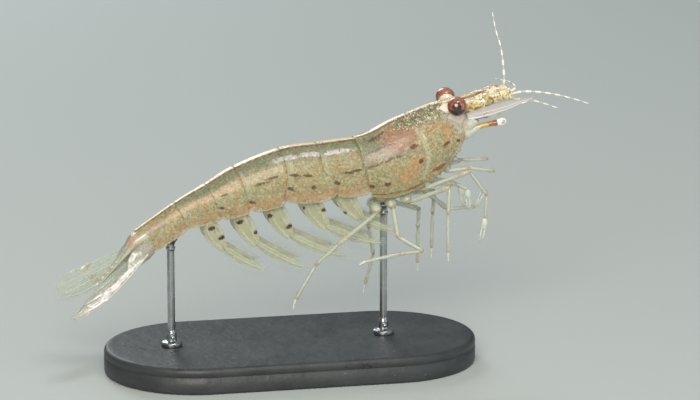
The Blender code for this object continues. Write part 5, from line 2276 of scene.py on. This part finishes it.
CORNEA = EyeFinish(
    "faceted eye", "a0604a", "7c4634", 0.5,
    clouds=(Cloud("c28a6c", 0.45, 0.3, 0.6), Cloud("5c2c22", 0.4, 0.3, 0.7)),
    layers=(
        Layer("brow", "b98066", 1.0, 1.6, 0.35, 0.45, 0.6), Layer("ring", "6e3a2c", 1.0, 1.6, 0.3, 0.45, 0.5),
        Layer("low", "21130f", 1.0, 1.0, 0.35, 0.45), Layer("pupil", "1c1212", 1.0, 1.4, 0.35, 0.45, 0.95)
    ),
    roughness=0.16, coat=1.0
)
BRISTLE = Finish("bristle", "e2e4d2", "cfd4c0", 1.5, 0.55, roughness=0.35, relief=0.0)
SLATE = Finish(
    "dark slate", "2b2f31", "3a3f41", 3.0,
    freckles=(Freckles("565c5e", 0.9, 0.16, 0.5), Freckles("1b1d1e", 1.4, 0.2, 0.5)), roughness=0.48,
    relief=0.5, relief_size=0.6, pores=0.15
)


@dataclass(frozen=True)
class SteelFinish(Finish):
    """Steel brushed round the rod."""

    def extras(self, nodes: Nodes, shader: object) -> None:
        """Adds the brushing.

        Args:
            nodes: The material's nodes.
            shader: The inputs of its shader.
        """
        spot = nodes.add("SeparateXYZ", {0: nodes.where()}).outputs[2]
        turns = nodes.add("CombineXYZ", {2: nodes.sum("MULTIPLY", spot, 9000.0)}).outputs[0]
        nodes.feed(shader["Normal"], nodes.bump(0.25, 0.01, nodes.noise(1.0, 4.0, turns)))


STEEL = SteelFinish("brushed steel", "b9bcbd", "a4a8aa", 0.8, roughness=0.3, metallic=1.0)


# ---------------- the shrimp's own sizes

# Each pair of limbs: name, tip, and the right limb's root and segments, then the left one's.
LIMBS = (
    (
        "maxilliped", Tip.PALP, ((14.2, 0.98, 17.45), ((2.0, 8, 8, 0.34), (2.45, -10, -4, 0.29))),
        ((14.2, 0.98, 17.45), ((2.0, 14, 8, 0.34), (2.4, 0, -2, 0.29)))
    ),
    (
        "cheliped_1", Tip.PINCER,
        ((12.95, 0.9, 16.45), ((2.1, -4, 9, 0.34), (1.15, -26, 10, 0.28), (1.75, -85, -6, 0.33))),
        ((12.95, 0.9, 16.45), ((2.2, -12, 12, 0.34), (1.2, -30, 8, 0.28), (1.6, -78, -6, 0.33)))
    ),
    (
        "cheliped_2", Tip.PINCER,
        (
            (11.75, 1.45, 15.95),
            ((4.75, 25, 20, 0.38), (2.7, -55, 4, 0.3), (2.2, -92, -4, 0.27), (2.0, -99, -5, 0.34))
        ),
        ((11.95, 1.05, 15.85), ((4.3, -40, 16, 0.36), (2.6, 1, 2, 0.28), (1.7, 64, -8, 0.33)))
    ),
    (
        "leg_3", Tip.CLAW,
        (
            (10.5, 1.4, 14.85),
            ((4.3, 27, 29, 0.38), (2.4, -94, 5, 0.31), (3.55, -91, 5, 0.27), (0.8, -95, 0, 0.25))
        ),
        (
            (10.75, 1.35, 15.05),
            ((4.1, -7, 32, 0.38), (2.2, -92, 10, 0.31), (3.4, -90, 6, 0.27), (0.9, -97, 0, 0.25))
        )
    ),
    (
        "leg_4", Tip.CLAW,
        (
            (9.15, 1.3, 14.55),
            (
                (2.9, -88, 33, 0.38), (2.6, -31, 18, 0.36), (2.35, 179, 17, 0.29), (3.35, -172, 7, 0.27),
                (0.75, -160, 0, 0.25)
            )
        ),
        (
            (9.3, 1.3, 14.45),
            ((4.25, -22, 30, 0.38), (1.9, -89, 14, 0.31), (3.5, -89, 6, 0.27), (0.8, -95, 0, 0.25))
        )
    ),
    (
        "leg_5", Tip.CLAW,
        (
            (7.75, 1.55, 14.15),
            ((5.5, -154, 31, 0.36), (2.8, -136, -10, 0.3), (3.6, -121, 0, 0.27), (0.95, -112, 0, 0.25))
        ),
        (
            (7.9, 1.45, 14.15),
            ((3.1, -89, 34, 0.36), (2.7, -78, 10, 0.3), (3.0, -104, 4, 0.27), (0.8, -112, 0, 0.25))
        )
    )
)
# The route of each feeler, from its root.
FEELERS = {
    "antennule_outer_flagellum_right": (
        (19.9, -1.0, 24.25), (21.4, -1.15, 24.5), (23.6, -1.4, 24.28), (25.6, -1.7, 23.8), (27.2, -1.8, 23.25)
    ),
    "antennule_inner_flagellum_right": ((19.9, -0.7, 23.85), (22.4, -0.7, 23.5), (24.5, -0.8, 22.8)),
    "antennule_outer_flagellum_left": (
        (20.0, 0.95, 24.1), (20.0, 1.2, 26.1), (19.8, 1.5, 28.1), (19.4, 1.9, 29.7), (19.2, 2.3, 31.2)
    ),
    "antennule_inner_flagellum_left": (
        (20.0, 0.75, 23.95), (21.1, 1.15, 24.4), (20.9, 2.4, 24.7), (20.0, 4.0, 24.75)
    ),
    "antenna_flagellum_right": (
        (19.25, -1.8, 22.0), (18.87, -3.2, 22.3), (17.81, -7.1, 23.14), (16.42, -12.2, 24.23),
        (15.28, -16.4, 25.13), (14.69, -18.6, 25.6)
    ),
    "antenna_flagellum_left": (
        (19.3, 1.8, 22.0), (20.2, 2.3, 21.9), (20.8, 4.0, 21.7), (22.0, 9.0, 20.5), (23.1, 14.2, 19.2),
        (23.8, 18.3, 18.3)
    )
}
# Each pair of swimmerets: the stem's length and pitch, the blades' length and pitch, and the dark spots.
SWIMMERETS = (
    ((2.85, -56.0), (3.3, -20.0), ((4.55, 14.1),)),
    ((3.15, -61.0), (5.2, -17.5), ((0.75, 14.7), (2.9, 14.6))),
    ((3.15, -64.0), (5.3, -21.5), ((-2.2, 14.2), (-0.45, 13.25))),
    ((2.95, -63.0), (5.1, -26.5), ((-4.85, 13.8), (-3.3, 12.9))),
    ((2.45, -62.0), (4.1, -28.5), ((-7.4, 13.35), (-6.5, 12.5)))
)


def main() -> None:
    """Builds the shrimp, its stand and the studio."""
    logging.basicConfig(level=logging.INFO, format="%(message)s")
    for start in list(bpy.data.objects):
        bpy.data.objects.remove(start, do_unlink=True)
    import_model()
    Studio().build()
    Stand().build(SLATE, STEEL)
    Abdomen().build(SHELL)
    Carapace().build(SHELL)
    Flesh().build(FLESH)
    Rostrum().build(BEAK)
    limb_setae, belly_setae = Setae("limb_bristles", "limb", 11), Setae("swimmeret_bristles", "fin", 12)
    fan_setae, scale_setae = Setae("fan_bristles", "fin", 13), Setae("scale_bristles", "fin", 14)
    Jaws().mouth(CLEAR_LIMB, limb_setae)
    Jaws().floor(FLESH)
    for side in Side:
        Eye(side).build(CORNEA, CLEAR_LIMB)
        Antennule(side).build(PEDUNCLE, limb_setae)
        Antenna(side).build(ANTENNA_BASE)
        Scale(side).build(SCALE_CLEAR, scale_setae)
        for index, (stem, blade, spots) in enumerate(SWIMMERETS):
            Swimmeret(index, side, stem=stem, blade=blade, spots=spots).build(LEAF_CLEAR, belly_setae)
    for node, route in FEELERS.items():
        Feeler(node, route, banded=node.startswith("antennule")).build(THREAD, limb_setae)
    core = Moulding()
    for part, tip, *limbs in LIMBS:
        for side, (root, segments) in zip((Side.RIGHT, Side.LEFT), limbs):
            Limb(side.named(part), side, root, segments, tip, core).build(CLEAR_LIMB, limb_setae)
    place(core, "limb_muscles", MUSCLE, "limb")
    fan = TailFan()
    fan.spike(FAN_CLEAR, fan_setae)
    for side in Side:
        # The right fan faces the camera and takes the finish with the painted highlight.
        fan.pair(side, {Side.LEFT: FAN_CLEAR, Side.RIGHT: FAN_WITH_PAINTED_HIGHLIGHT}, fan_setae)
    for setae in (limb_setae, belly_setae, fan_setae, scale_setae):
        setae.build(BRISTLE)


if __name__ == "__main__":
    main()
